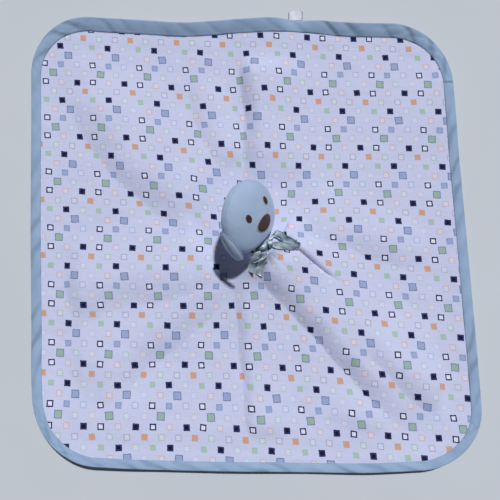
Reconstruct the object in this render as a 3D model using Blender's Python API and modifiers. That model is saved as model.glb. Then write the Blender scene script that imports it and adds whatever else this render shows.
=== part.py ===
# A comfort blanket lovey: a square printed blanket with a bound edge, gathered at its middle
# round the stuffed neck of a small floppy-eared puppy's head, with a satin bow under the chin.
#
# Lengths are in metres. X runs to the right and Y up the blanket as it is laid out face up, Z is
# up, and the origin is at the middle of the bounding box, on the surface that it lies on.
# The head's own axes are x to the animal's right, y out of its face and z out of its crown.

import math

import bmesh
import bpy
from mathutils import Euler, Matrix, Vector
from mathutils.bvhtree import BVHTree

MM = 0.001
DEGREE = math.pi / 180

# Blanket, as cut
BLANKET_WIDTH = 394 * MM
BLANKET_LENGTH = 410 * MM
CORNER_RADIUS = 58 * MM
PRINTED_THICKNESS = 0.7 * MM
BACKING_THICKNESS = 1.0 * MM
# It lies a little out of square: sideways lean for each metre up, and rise for each metre across
LEAN_SHARE = -0.0457
RISE_SHARE = -0.0208

# Edge binding, a tape folded round the cloth's edge
BINDING_WIDTH = 9.5 * MM
BINDING_WALL = 0.6 * MM
BINDING_ROLL = 1.9 * MM
BINDING_CROWN = 0.4 * MM

# Care label
LABEL_WIDTH = 13.0 * MM
LABEL_LENGTH = 9.5 * MM
LABEL_THICKNESS = 0.5 * MM
LABEL_BEVEL = 0.12 * MM
LABEL_PLACE = 54 * MM
LABEL_HEIGHT = 1.6 * MM

# Head, stuffed and a little flat
HEAD_HALF_WIDTH = 30.9 * MM
HEAD_FACE_DEPTH = 13.5 * MM
HEAD_BACK_DEPTH = 14.4 * MM
HEAD_CROWN_HEIGHT = 30.3 * MM
HEAD_CHIN_HEIGHT = 25.6 * MM
HEAD_CENTRE = Vector((0.9 * MM, 9.7 * MM, 42.1 * MM))
HEAD_TURN = Euler((43.2 * DEGREE, -29.6 * DEGREE, -127.2 * DEGREE), "XYZ")
HEAD_CHEEK_POWER = 2.73
COVER_THICKNESS = 1.2 * MM
MUZZLE_RISE = 1.4 * MM
MUZZLE_HALF_WIDTH = 11 * MM
MUZZLE_HALF_HEIGHT = 10 * MM
MUZZLE_DROP = 7 * MM

# Stitched eyes and nose
STITCH_THICKNESS = 0.8 * MM
EYE_SPREAD = 12.6 * MM
EYE_HEIGHT = 8.1 * MM
EYE_HALF_WIDTH = 2.3 * MM
EYE_HALF_HEIGHT = 3.4 * MM
NOSE_DROP = 5.1 * MM
NOSE_HALF_WIDTH = 9.0 * MM
NOSE_HALF_HEIGHT = 5.6 * MM

# Ears
EAR_LENGTH = 29 * MM
EAR_WIDTH = 16 * MM
EAR_LAYER = 1.25 * MM
EAR_CUP = 1.6 * MM
RIGHT_EAR_ROOT_HEIGHT = 7 * MM
RIGHT_EAR_ROOT_SETBACK = 3.5 * MM
LEFT_EAR_ROOT_HEIGHT = 8.8 * MM
LEFT_EAR_ROOT_SETBACK = 6.1 * MM
EAR_ROOT_STANDOFF = 0.6 * MM

# Neck, with the head's nodding pivot at the top of it
NECK_RADIUS = 7.5 * MM
NECK_SLEEVE_WALL = 1.0 * MM
NECK_DOME_RADIUS = 7.7 * MM
NECK_PIVOT_DROP = 0.4 * MM
NECK_SLEEVE_TOP = 1.2 * MM
NECK_DOME_CELLS = 5
NECK_LENGTH = 9.5 * MM
NECK_TURNS = 24

# Satin ribbon
RIBBON_WIDTH = 6.5 * MM
RIBBON_THICKNESS = 0.45 * MM
BAND_WIDTH = 5.0 * MM
BAND_TOP = 0.9 * MM
BOW_REACH = 25 * MM
KNOT_RADIUS = 2.6 * MM
KNOT_RISE = -1.0 * MM

# Clearances
CLEARANCE = 0.3 * MM
PIVOT_CLEARANCE = 0.5 * MM
MERGE_DISTANCE = 0.002 * MM

# How the cloth lies: it climbs to the neck, and folds run out from there
TENT_LENGTH = 20 * MM
FLAT_CUT = 0.5 * MM
FOLD_HEIGHT = 4.0 * MM
FOLD_WIDTH = 20 * MM
EDGE_LIFT = 5.0 * MM
FLAT_HEM = 11 * MM
HEM_SLOPE = 9.5 * MM

# Each fold: its bearing in degrees by the neck and at the hem, then shares: height of FOLD_HEIGHT,
# steep and easy half widths of FOLD_WIDTH, and where it starts, is whole, starts to fade and ends
# as shares of half the blanket's width. The steep side is the one with the smaller width.
# The first width is on the anticlockwise side.
FOLD_SHARES = (
    (84, 95, 0.62, 0.36, 0.85, 0.05, 0.25, 0.90, 1.02),
    (153, 139, 0.80, 0.55, 1.00, 0.20, 0.45, 0.85, 1.15),
    (199, 196, 0.60, 0.55, 0.90, 0.10, 0.30, 0.70, 0.98),
    (224, 228, 0.45, 0.80, 0.45, 0.08, 0.30, 0.70, 1.02),
    (262, 271, 0.28, 0.60, 0.28, 0.15, 0.35, 0.85, 1.00),
    (295, 310, 1.00, 1.00, 0.36, 0.06, 0.22, 0.85, 1.20),
    (346, 333, 0.50, 0.80, 0.32, 0.08, 0.18, 0.38, 0.55),
    (15, 357, 0.45, 1.00, 0.60, 0.20, 0.40, 0.75, 1.00),
    (318, 321, 0.50, 0.70, 0.50, 0.62, 0.80, 1.05, 1.20),
    (116, 122, 0.30, 0.50, 0.80, 0.05, 0.25, 0.60, 0.95),
)

# Where the hem lifts off the surface: bearing and half spread in degrees, share of EDGE_LIFT
HEM_LIFT_SHARES = (
    (226, 16, 1.00),
    (262, 22, 0.30),
    (315, 12, 0.35),
    (41, 11, 0.60),
    (136, 10, 0.35),
)

# Size of the plain forms that are scaled to a piece's size
UNIT = 1.0

# Mesh counts
SIDE_CELLS = 12
CORNER_CELLS = 4
SPOKE_SHARES = (0.0, 0.03, 0.08, 0.18, 0.36, 0.62, 1.0)
HEAD_SEGMENTS = 24
HEAD_RINGS = 14
SOCKET_SEGMENTS = 20
SOCKET_RINGS = 10
EAR_LENGTH_CELLS = 10
EAR_WIDTH_CELLS = 6
STITCH_SEGMENTS = 14
STITCH_RINGS = 8

# Ear layers: share of the width at the root, and where along the ear it is widest
EAR_ROOT_SHARE = 0.4
EAR_TIP_SHARE = 0.24
EAR_WIDEST_SHARE = 0.55
# Ear directions in the head's axes: along the ear, and out of its outer face
RIGHT_EAR_ALONG = Vector((0.0, 0.25, -0.97))
RIGHT_EAR_OUT = Vector((0.957, -0.29, -0.085))
LEFT_EAR_ALONG = Vector((0.79, -0.60, -0.11))
LEFT_EAR_OUT = Vector((-0.58, -0.79, 0.18))

# Bow: each path's places over the blanket and heights above its cloth, as shares of BOW_REACH,
# from the knot outwards, and the direction of the ribbon's width where it starts and where it ends
LOOP_STEPS = 3
TAIL_STEPS = 3
GATHER_SHARE = 0.6
GATHER_LENGTH_SHARE = 0.3
LOOP_RIGHT_SHARES = (
    (0.90, -0.57, 0.06), (1.07, -0.56, 0.04), (1.28, -0.58, 0.02), (1.52, -0.59, 0.01),
    (1.72, -0.56, 0.03), (1.79, -0.50, 0.09), (1.68, -0.45, 0.14), (1.46, -0.40, 0.16),
    (1.22, -0.33, 0.17), (1.03, -0.27, 0.17), (0.95, -0.34, 0.19),
)
LOOP_LEFT_SHARES = (
    (0.62, -0.88, 0.09), (0.45, -0.97, 0.08), (0.29, -1.04, 0.07), (0.15, -1.08, 0.07),
    (0.08, -1.06, 0.10), (0.14, -1.01, 0.13), (0.28, -0.95, 0.13), (0.44, -0.87, 0.14),
)
TAIL_LEFT_SHARES = ((0.27, -1.04, 0.0), (0.20, -1.12, 0.0), (0.15, -1.20, 0.0), (0.12, -1.34, 0.0),
                    (0.12, -1.51, 0.0))
TAIL_RIGHT_SHARES = ((0.64, -1.00, 0.0), (0.56, -1.07, 0.0), (0.49, -1.16, 0.0), (0.43, -1.34, 0.0),
                     (0.38, -1.60, 0.0))
LOOP_RIGHT_ACROSS = (Vector((0.1, 1.0, 0.15)), Vector((-0.25, 0.6, 0.75)))
LOOP_LEFT_ACROSS = (Vector((-0.5, 0.8, 0.3)), Vector((-0.5, 0.75, 0.35)))
TAIL_LEFT_ACROSS = (Vector((0.95, -0.3, 0.1)), Vector((0.75, 0.05, 0.6)))
TAIL_RIGHT_ACROSS = (Vector((0.95, -0.3, 0.1)), Vector((1.0, 0.05, 0.1)))
RIBBON_STANDOFF = 0.8 * MM

# Finishes: colour, roughness
PRINTED_CLOTH = ("printed_jersey", (0.50, 0.56, 0.78), 0.9)
BACKING_CLOTH = ("backing_velour", (0.30, 0.42, 0.60), 0.95)
BINDING_TAPE = ("binding_tape", (0.27, 0.37, 0.52), 0.85)
LABEL_SATIN = ("label_satin", (0.90, 0.90, 0.90), 0.5)
HEAD_VELOUR = ("head_velour", (0.30, 0.42, 0.60), 0.95)
RIBBON_SATIN = ("ribbon_satin", (0.42, 0.56, 0.56), 0.35)
STITCH_THREAD = ("stitch_thread", (0.05, 0.02, 0.02), 0.6)
FIBRE_FILL = ("fibre_fill", (0.85, 0.85, 0.83), 1.0)


def clear_scene():
    """Empty the scene."""
    for obj in list(bpy.data.objects):
        bpy.data.objects.remove(obj, do_unlink=True)


def make_collection(name):
    """Add a collection to the scene."""
    collection = bpy.data.collections.new(name)
    bpy.context.scene.collection.children.link(collection)
    return collection


def make_material(finish):
    """Make the plain material of one finish, or find it if it is made already."""
    name, colour, roughness = finish
    material = bpy.data.materials.get(name)
    if material is None:
        material = bpy.data.materials.new(name)
        material.use_nodes = True
        shader = material.node_tree.nodes["Principled BSDF"]
        shader.inputs["Base Color"].default_value = (*colour, 1.0)
        shader.inputs["Roughness"].default_value = roughness
        shader.inputs["Metallic"].default_value = 0.0
    return material


def add_object(name, mesh, finish, parent=None):
    """Put a mesh in the lovey's collection under a piece's name, with its finish."""
    obj = bpy.data.objects.new(name, mesh)
    LOVEY.objects.link(obj)
    if finish:
        mesh.materials.append(make_material(finish))
    mesh.shade_smooth()
    obj.parent = parent
    return obj


def add_bmesh(name, bm, finish, parent=None):
    """Turn a bmesh into a piece."""
    mesh = bpy.data.meshes.new(name)
    bmesh.ops.recalc_face_normals(bm, faces=bm.faces)
    if bm.calc_volume(signed=True) < 0:
        bmesh.ops.reverse_faces(bm, faces=bm.faces)
    bm.to_mesh(mesh)
    bm.free()
    return add_object(name, mesh, finish, parent)


def add_empty(name, location, axes, parent=None):
    """Put an empty at a joint, with the joint's axes."""
    empty = bpy.data.objects.new(name, None)
    LOVEY.objects.link(empty)
    empty.empty_display_size = KNOT_RADIUS
    empty.parent = parent
    empty.matrix_basis = Matrix.Translation(location) @ axes.to_4x4()
    return empty


def smooth_step(value):
    """Ease from 0 to 1."""
    value = min(max(value, 0.0), 1.0)
    return value * value * (3 - 2 * value)


def laid(x, y):
    """Put a point of the squared-up blanket where it lies, a little out of square."""
    return Vector((x + LEAN_SHARE * y, y + RISE_SHARE * x + box_shift(), 0))


def outline(inset):
    """Points round the blanket's outline, drawn in by an inset, anticlockwise from the right side."""
    half_x = BLANKET_WIDTH / 2 - CORNER_RADIUS
    half_y = BLANKET_LENGTH / 2 - CORNER_RADIUS
    radius = CORNER_RADIUS - inset
    centres = ((half_x, half_y), (-half_x, half_y), (-half_x, -half_y), (half_x, -half_y))
    points = []
    for quarter, centre in enumerate(centres):
        for cell in range(CORNER_CELLS + 1):
            angle = (quarter + cell / CORNER_CELLS) * math.pi / 2
            points.append((centre[0] + radius * math.cos(angle), centre[1] + radius * math.sin(angle)))
        start = points[-1]
        after = centres[(quarter + 1) % len(centres)]
        turn = (quarter + 1) * math.pi / 2
        end = (after[0] + radius * math.cos(turn), after[1] + radius * math.sin(turn))
        for cell in range(1, SIDE_CELLS):
            share = cell / SIDE_CELLS
            points.append((start[0] + (end[0] - start[0]) * share, start[1] + (end[1] - start[1]) * share))
    return points


def box_shift():
    """How far the blanket moves down so that the origin is midway between label and lower hem."""
    half_x = BLANKET_WIDTH / 2 - CORNER_RADIUS
    half_y = BLANKET_LENGTH / 2 - CORNER_RADIUS
    hem_reach = half_y + abs(RISE_SHARE) * half_x + CORNER_RADIUS * math.hypot(1, RISE_SHARE)
    label_reach = BLANKET_LENGTH / 2 + RISE_SHARE * LABEL_PLACE + CLEARANCE + LABEL_LENGTH
    return (hem_reach - label_reach) / 2


HEAD_AXES = HEAD_TURN.to_matrix()
CROWN = HEAD_AXES @ Vector((0, 0, 1))
STACK = BACKING_THICKNESS + CLEARANCE + PRINTED_THICKNESS
PIVOT = HEAD_CENTRE + Vector((0, box_shift(), 0)) - CROWN * (HEAD_CHIN_HEIGHT + NECK_PIVOT_DROP)
HOLE_RADIUS = NECK_RADIUS + CLEARANCE + STACK * math.sin(CROWN.angle(Vector((0, 0, 1))))
HOLE_DROP = BAND_TOP + BAND_WIDTH + CLEARANCE + STACK * CROWN.z
HOLE_CENTRE = PIVOT - CROWN * HOLE_DROP


def hole_reach(bearing):
    """Distance from the hole's middle to its rim, seen from above, in one direction."""
    tilt = CROWN.x * math.cos(bearing) + CROWN.y * math.sin(bearing)
    return HOLE_RADIUS / math.sqrt(1 + (tilt / CROWN.z) ** 2)


def hole_height(bearing):
    """Height of the hole's rim in one direction."""
    tilt = CROWN.x * math.cos(bearing) + CROWN.y * math.sin(bearing)
    return HOLE_CENTRE.z - tilt / CROWN.z * hole_reach(bearing)


def angle_between(first, second):
    """Signed turn from the second bearing to the first."""
    return (first - second + math.pi) % (2 * math.pi) - math.pi


def fold_height(distance, bearing):
    """Height that the folds add at a place given by its distance and bearing from the hole."""
    total = 0.0
    half = BLANKET_WIDTH / 2
    for near, far, height, left, right, start, whole, fading, end in FOLD_SHARES:
        share = distance / half
        swing = ((far - near + 180) % 360) - 180
        line = (near + swing * smooth_step(share / whole)) * DEGREE
        offset = angle_between(bearing, line)
        if abs(offset) > math.pi / 2:
            continue
        aside = offset * distance
        width = FOLD_WIDTH * (left if aside > 0 else right)
        rise = smooth_step(1 - abs(aside) / width)
        along = smooth_step((share - start) / (whole - start))
        along *= 1 - smooth_step((share - fading) / (end - fading))
        total += FOLD_HEIGHT * height * rise * along
    return total


def cloth_height(x, y, fade=1.0):
    """Height of the backing's underside over the surface, away from the hem."""
    across = Vector((x - HOLE_CENTRE.x, y - HOLE_CENTRE.y))
    bearing = math.atan2(across.y, across.x)
    beyond = max(across.length - hole_reach(bearing), 0.0)
    tent = hole_height(bearing) * math.exp(-beyond / TENT_LENGTH)
    folds = fade * fold_height(across.length, bearing)
    return max(tent + folds - FLAT_CUT * (1 - math.exp(-beyond / TENT_LENGTH)), 0.0)


def hem_lift(bearing):
    """Height that the hem is lifted off the surface in one direction."""
    lift = 0.0
    for middle, spread, share in HEM_LIFT_SHARES:
        offset = angle_between(bearing, middle * DEGREE) / (spread * DEGREE)
        lift += EDGE_LIFT * share * math.exp(-offset * offset)
    return max(lift - BINDING_WALL, 0.0)


def hem_lifts():
    """Height that the hem is lifted off the surface at each point of the outline."""
    lifts = []
    for point in outline(FLAT_HEM):
        spoke = laid(*point) - HOLE_CENTRE
        lifts.append(hem_lift(math.atan2(spoke.y, spoke.x)))
    return lifts


def cloth_rings(edge_inset, hem_rise):
    """Rings of points of a cloth layer's underside, from its hole to its cut edge."""
    edge = [laid(*point) for point in outline(edge_inset)]
    hem = [laid(*point) for point in outline(FLAT_HEM)]
    slope = [laid(*point) for point in outline(FLAT_HEM + HEM_SLOPE)]
    middle = Vector((HOLE_CENTRE.x, HOLE_CENTRE.y, 0))
    rings = [[] for _ in SPOKE_SHARES]
    lifts = hem_lifts()
    for point, lift in zip(slope, lifts):
        spoke = point - middle
        reach = hole_reach(math.atan2(spoke.y, spoke.x))
        for ring, share in zip(rings, SPOKE_SHARES):
            place = middle + spoke.normalized() * (reach + (spoke.length - reach) * share)
            fade = 1 - smooth_step((share - SPOKE_SHARES[-2]) / (1 - SPOKE_SHARES[-2]))
            place.z = cloth_height(place.x, place.y, fade) + lift * (1 - fade) / 2
            ring.append(place)
    for points in (hem, edge):
        rings.append([point + Vector((0, 0, lift + hem_rise)) for point, lift in zip(points, lifts)])
    return rings


def make_cloth(name, finish, bottom, thickness, hem_rise):
    """Make one layer of the blanket, as an open sheet pushed up by its thickness."""
    edge_inset = BINDING_ROLL + CLEARANCE
    bm = bmesh.new()
    rings = []
    for ring in cloth_rings(edge_inset, hem_rise):
        rings.append([bm.verts.new(point) for point in ring])
    count = len(rings[0])
    for inner, outer in zip(rings, rings[1:]):
        for index in range(count):
            after = (index + 1) % count
            bm.faces.new((inner[index], outer[index], outer[after]))
            bm.faces.new((inner[index], outer[after], inner[after]))
    bm.normal_update()
    for vert, normal in [(vert, vert.normal.copy()) for vert in bm.verts]:
        vert.co += normal * bottom
    bm.normal_update()
    top = bmesh.ops.extrude_face_region(bm, geom=bm.faces[:])
    raised = [item for item in top["geom"] if isinstance(item, bmesh.types.BMVert)]
    for vert in raised:
        vert.co += vert.normal * thickness
    return add_bmesh(name, bm, finish)


def make_binding():
    """Make the tape folded round the cloth's edge, as one closed loop with a U section."""
    gap = BINDING_WALL + CLEARANCE
    slot_top = gap + STACK + CLEARANCE
    top = slot_top + BINDING_WALL
    middle = (BINDING_WALL + slot_top) / 2
    toe = BINDING_ROLL / 2
    section = (
        (BINDING_WIDTH, 0), (toe, 0), (0, middle - toe), (0, middle + toe), (toe, top),
        (BINDING_WIDTH / 2, top + BINDING_CROWN), (BINDING_WIDTH, top),
        (BINDING_WIDTH, slot_top), (BINDING_ROLL, slot_top),
        (BINDING_ROLL, BINDING_WALL), (BINDING_WIDTH, BINDING_WALL),
    )
    lines = [[laid(*point) for point in outline(inset)] for inset, _ in section]
    bm = bmesh.new()
    loops = []
    for index, lift in enumerate(hem_lifts()):
        loop = []
        for line, (_, height) in zip(lines, section):
            loop.append(bm.verts.new(line[index] + Vector((0, 0, height + lift))))
        loops.append(loop)
    for index, loop in enumerate(loops):
        after = loops[(index + 1) % len(loops)]
        for corner in range(len(section)):
            beyond = (corner + 1) % len(section)
            bm.faces.new((loop[corner], loop[beyond], after[beyond], after[corner]))
    return add_bmesh("edge_binding", bm, BINDING_TAPE)


def make_label():
    """Make the care label, hinged along the line where it leaves the upper hem."""
    along = Vector((1, RISE_SHARE, 0)).normalized()
    away = Vector((-along.y, along.x, 0))
    axes = Matrix((along, away, Vector((0, 0, 1)))).transposed()
    root = laid(LABEL_PLACE, BLANKET_LENGTH / 2) + away * CLEARANCE + Vector((0, 0, LABEL_HEIGHT))
    hinge = add_empty("label_hinge", root, axes)
    bm = bmesh.new()
    bmesh.ops.create_cube(bm, size=UNIT)
    bmesh.ops.scale(bm, verts=bm.verts, vec=(LABEL_WIDTH, LABEL_LENGTH, LABEL_THICKNESS))
    bmesh.ops.translate(bm, verts=bm.verts, vec=(0, LABEL_LENGTH / 2, 0))
    label = add_bmesh("care_label", bm, LABEL_SATIN, hinge)
    bevel = label.modifiers.new("Soft edges", "BEVEL")
    bevel.width = LABEL_BEVEL
    bevel.segments = 1
    return label


def head_point(direction, inset):
    """Point of the head's form in a unit direction from its middle, drawn in by an inset."""
    depth = HEAD_FACE_DEPTH if direction.y > 0 else HEAD_BACK_DEPTH
    height = HEAD_CROWN_HEIGHT if direction.z > 0 else HEAD_CHIN_HEIGHT
    power = 2.0 if direction.z > 0 else HEAD_CHEEK_POWER
    level = (direction.x / (HEAD_HALF_WIDTH - inset)) ** 2 + (direction.y / (depth - inset)) ** 2
    upright = abs(direction.z) / (height - inset)
    reach = (level ** (power / 2) + upright ** power) ** (-1 / power)
    point = direction * reach
    if direction.y > 0:
        point.y += muzzle_rise(point.x, point.z) * smooth_step(point.y / (HEAD_FACE_DEPTH / 2))
    return point


def muzzle_rise(x, z):
    """How far the muzzle stands out of the face."""
    aside = x / MUZZLE_HALF_WIDTH
    above = (z + MUZZLE_DROP) / MUZZLE_HALF_HEIGHT
    return MUZZLE_RISE * math.exp(-aside * aside - above * above)


def face_point(x, z):
    """Point on the face above a place across and up it."""
    height = HEAD_CROWN_HEIGHT if z > 0 else HEAD_CHIN_HEIGHT
    power = 2.0 if z > 0 else HEAD_CHEEK_POWER
    level = (1 - (abs(z) / height) ** power) ** (2 / power) - (x / HEAD_HALF_WIDTH) ** 2
    return Vector((x, HEAD_FACE_DEPTH * math.sqrt(level) + muzzle_rise(x, z), z))


def face_normal(x, z):
    """Direction out of the face at a place across and up it."""
    step = CLEARANCE
    across = face_point(x + step, z) - face_point(x - step, z)
    upward = face_point(x, z + step) - face_point(x, z - step)
    return upward.cross(across).normalized()


def head_sphere():
    """A unit ball whose points give the head's directions."""
    bm = bmesh.new()
    bmesh.ops.create_uvsphere(bm, u_segments=HEAD_SEGMENTS, v_segments=HEAD_RINGS, radius=UNIT)
    return bm


def make_socket_cutter():
    """Make the ball that hollows the head where it sits on the neck."""
    bm = bmesh.new()
    bmesh.ops.create_uvsphere(bm, u_segments=SOCKET_SEGMENTS, v_segments=SOCKET_RINGS,
                              radius=NECK_DOME_RADIUS + PIVOT_CLEARANCE)
    mesh = bpy.data.meshes.new("socket_cutter")
    bm.to_mesh(mesh)
    bm.free()
    cutter = bpy.data.objects.new("socket_cutter", mesh)
    CUTTERS.objects.link(cutter)
    cutter.parent = HEAD_PIVOT
    cutter.hide_render = True
    cutter.display_type = "WIRE"
    return cutter


def cut_socket(obj):
    """Cut the neck's socket out of a piece of the head."""
    cut = obj.modifiers.new("Neck socket", "BOOLEAN")
    cut.operation = "DIFFERENCE"
    cut.solver = "EXACT"
    cut.object = SOCKET


def make_cover(name, side):
    """Make the front or back panel of the head's cover, which meet at the side seam."""
    bm = head_sphere()
    bmesh.ops.bisect_plane(bm, geom=bm.verts[:] + bm.edges[:] + bm.faces[:], dist=MERGE_DISTANCE,
                           plane_co=(0, 0, 0), plane_no=(0, -side, 0), clear_outer=True)
    outside = bm.verts[:]
    inside = bmesh.ops.extrude_face_region(bm, geom=bm.faces[:])["geom"]
    inside = [item for item in inside if isinstance(item, bmesh.types.BMVert)]
    place_head_points(outside, 0.0, side)
    place_head_points(inside, COVER_THICKNESS, side)
    cover = add_bmesh(name, bm, HEAD_VELOUR, HEAD_PIVOT)
    cut_socket(cover)
    return cover


def place_head_points(verts, inset, side):
    """Move points of the unit ball onto the head's form, about the nodding pivot."""
    seam = Vector((0, side * CLEARANCE / 2, 0))
    for vert in verts:
        vert.co = head_point(vert.co.normalized(), inset) + seam + HEAD_OFFSET


def make_head_stuffing():
    """Make the ball of fibre inside the head's cover."""
    bm = head_sphere()
    place_head_points(bm.verts[:], COVER_THICKNESS + CLEARANCE, 0)
    stuffing = add_bmesh("head_stuffing", bm, FIBRE_FILL, HEAD_PIVOT)
    cut_socket(stuffing)
    return stuffing


def make_stitching(name, x, z, half_width, half_height):
    """Make an oval of satin stitch lying on the face."""
    bm = bmesh.new()
    bmesh.ops.create_uvsphere(bm, u_segments=STITCH_SEGMENTS, v_segments=STITCH_RINGS, radius=UNIT)
    for vert in bm.verts:
        place_x = x + vert.co.x * half_width
        place_z = z + vert.co.y * half_height
        rise = CLEARANCE + STITCH_THICKNESS * (vert.co.z + 1) / 2
        vert.co = face_point(place_x, place_z) + face_normal(place_x, place_z) * rise
        vert.co += HEAD_OFFSET + Vector((0, CLEARANCE / 2, 0))
    return add_bmesh(name, bm, STITCH_THREAD, HEAD_PIVOT)


def ear_half_width(share):
    """Half the ear's width at a share of its length."""
    if share < EAR_WIDEST_SHARE:
        swell = math.sin(share / EAR_WIDEST_SHARE * math.pi / 2)
        return EAR_WIDTH / 2 * (EAR_ROOT_SHARE + (1 - EAR_ROOT_SHARE) * swell)
    taper = (share - EAR_WIDEST_SHARE) / (1 - EAR_WIDEST_SHARE)
    return EAR_WIDTH / 2 * (EAR_TIP_SHARE + (1 - EAR_TIP_SHARE) * math.sqrt(1 - taper ** 2))


def make_ear_layer(name, hinge, outer):
    """Make one of an ear's two layers, a cupped petal along +X with its outside at +Z."""
    bm = bmesh.new()
    bmesh.ops.create_grid(bm, x_segments=EAR_LENGTH_CELLS, y_segments=EAR_WIDTH_CELLS, size=UNIT / 2)
    bottom = CLEARANCE / 2 if outer else -CLEARANCE / 2 - EAR_LAYER
    for vert in bm.verts:
        share = vert.co.x / UNIT + 1 / 2
        across = 2 * vert.co.y / UNIT
        swell = math.sin(share * math.pi) * (1 - across * across)
        vert.co = Vector((EAR_LENGTH * share, across * ear_half_width(share), EAR_CUP * swell + bottom))
    top = bmesh.ops.extrude_face_region(bm, geom=bm.faces[:])
    raised = [item for item in top["geom"] if isinstance(item, bmesh.types.BMVert)]
    bmesh.ops.translate(bm, verts=raised, vec=(0, 0, EAR_LAYER))
    return add_bmesh(name, bm, HEAD_VELOUR, hinge)


def make_ear(side_name, side, root_height, root_setback, along, out):
    """Make one ear, hinged at its root in the side seam."""
    along = along.normalized()
    across = out.cross(along).normalized()
    out = along.cross(across)
    thick = EAR_LAYER + CLEARANCE / 2
    backward = root_setback / HEAD_BACK_DEPTH
    upward = root_height / HEAD_CROWN_HEIGHT
    aside = side * HEAD_HALF_WIDTH * math.sqrt(1 - backward ** 2 - upward ** 2)
    root = Vector((aside, -root_setback, root_height)) + HEAD_OFFSET
    root += out * (thick + EAR_ROOT_STANDOFF)
    axes = Matrix((along, across, out)).transposed()
    hinge = add_empty(side_name + "_ear_hinge", root, axes, HEAD_PIVOT)
    make_ear_layer(side_name + "_ear_outer", hinge, True)
    make_ear_layer(side_name + "_ear_inner", hinge, False)


def turned(name, profile, closed, finish, parent):
    """Turn a profile round the parent's z axis."""
    edges = [(index, index + 1) for index in range(len(profile) - 1)]
    if closed:
        edges.append((len(profile) - 1, 0))
    mesh = bpy.data.meshes.new(name)
    mesh.from_pydata([(x, 0, z) for x, z in profile], edges, [])
    obj = add_object(name, mesh, finish, parent)
    screw = obj.modifiers.new("Turn", "SCREW")
    screw.steps = NECK_TURNS
    screw.render_steps = NECK_TURNS
    screw.use_merge_vertices = True
    screw.merge_threshold = MERGE_DISTANCE
    return obj


def make_neck():
    """Make the stuffed neck, its sleeve and the ribbon tied round it."""
    core = NECK_RADIUS - NECK_SLEEVE_WALL - CLEARANCE
    lean = math.asin(core / NECK_DOME_RADIUS)
    fill = []
    for cell in range(NECK_DOME_CELLS + 1):
        angle = lean * cell / NECK_DOME_CELLS
        fill.append((NECK_DOME_RADIUS * math.sin(angle), NECK_DOME_RADIUS * math.cos(angle)))
    fill += [(core, -NECK_LENGTH), (0, -NECK_LENGTH)]
    turned("neck_stuffing", fill, False, FIBRE_FILL, NECK_PIVOT)
    sleeve_wall = NECK_RADIUS - NECK_SLEEVE_WALL
    sleeve = [(sleeve_wall, NECK_SLEEVE_TOP), (NECK_RADIUS, NECK_SLEEVE_TOP),
              (NECK_RADIUS, -NECK_LENGTH), (sleeve_wall, -NECK_LENGTH)]
    turned("neck_sleeve", sleeve, True, HEAD_VELOUR, NECK_PIVOT)
    inner = NECK_RADIUS + CLEARANCE
    outer = inner + RIBBON_THICKNESS
    bottom = -BAND_TOP - BAND_WIDTH
    band = [(inner, -BAND_TOP), (outer, -BAND_TOP), (outer + RIBBON_THICKNESS / 2, (bottom - BAND_TOP) / 2),
            (outer, bottom), (inner, bottom)]
    turned("ribbon_band", band, True, RIBBON_SATIN, NECK_BASE)


def smooth_path(points, steps):
    """Points of a smooth curve through given points."""
    padded = [points[0] * 2 - points[1], *points, points[-1] * 2 - points[-2]]
    path = []
    for index in range(1, len(padded) - 2):
        before, start, end, after = padded[index - 1:index + 3]
        for step in range(steps):
            share = step / steps
            square, cube = share ** 2, share ** 3
            path.append(0.5 * (2 * start + (end - before) * share
                               + (2 * before - 5 * start + 4 * end - after) * square
                               + (3 * start - before - 3 * end + after) * cube))
    path.append(points[-1])
    return path


def cloth_top(x, y):
    """Height of the printed cloth's face over a place, or of its hole's rim inside that."""
    hit = PRINTED_TREE.ray_cast(Vector((x, y, BLANKET_WIDTH)), Vector((0, 0, -1)))[0]
    return hit.z if hit else cloth_height(x, y) + STACK


def make_bow_piece(name, shares, steps, across, looped):
    """Make a loop or tail of the bow, a ribbon gathered at the knot and lying over the cloth."""
    path = smooth_path([Vector(share) * BOW_REACH for share in shares], steps)
    bm = bmesh.new()
    rows = []
    for index, point in enumerate(path):
        share = index / (len(path) - 1)
        from_knot = 2 * min(share, 1 - share) if looped else share
        gather = GATHER_SHARE + (1 - GATHER_SHARE) * smooth_step(from_knot / GATHER_LENGTH_SHARE)
        half = across[0].lerp(across[1], share).normalized() * RIBBON_WIDTH / 2 * gather
        row = [Vector((point.x, point.y, 0)) + half * side for side in (-1, 0, 1)]
        rise = point.z + RIBBON_STANDOFF + max(cloth_top(edge.x, edge.y) - edge.z for edge in row)
        rows.append([bm.verts.new(edge + Vector((0, 0, rise))) for edge in row])
    for row, after in zip(rows, rows[1:]):
        bm.faces.new((row[0], row[1], after[1], after[0]))
        bm.faces.new((row[1], row[2], after[2], after[1]))
    ribbon = add_bmesh(name, bm, RIBBON_SATIN)
    thicken = ribbon.modifiers.new("Ribbon thickness", "SOLIDIFY")
    thicken.thickness = RIBBON_THICKNESS
    thicken.offset = 0
    return ribbon


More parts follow.
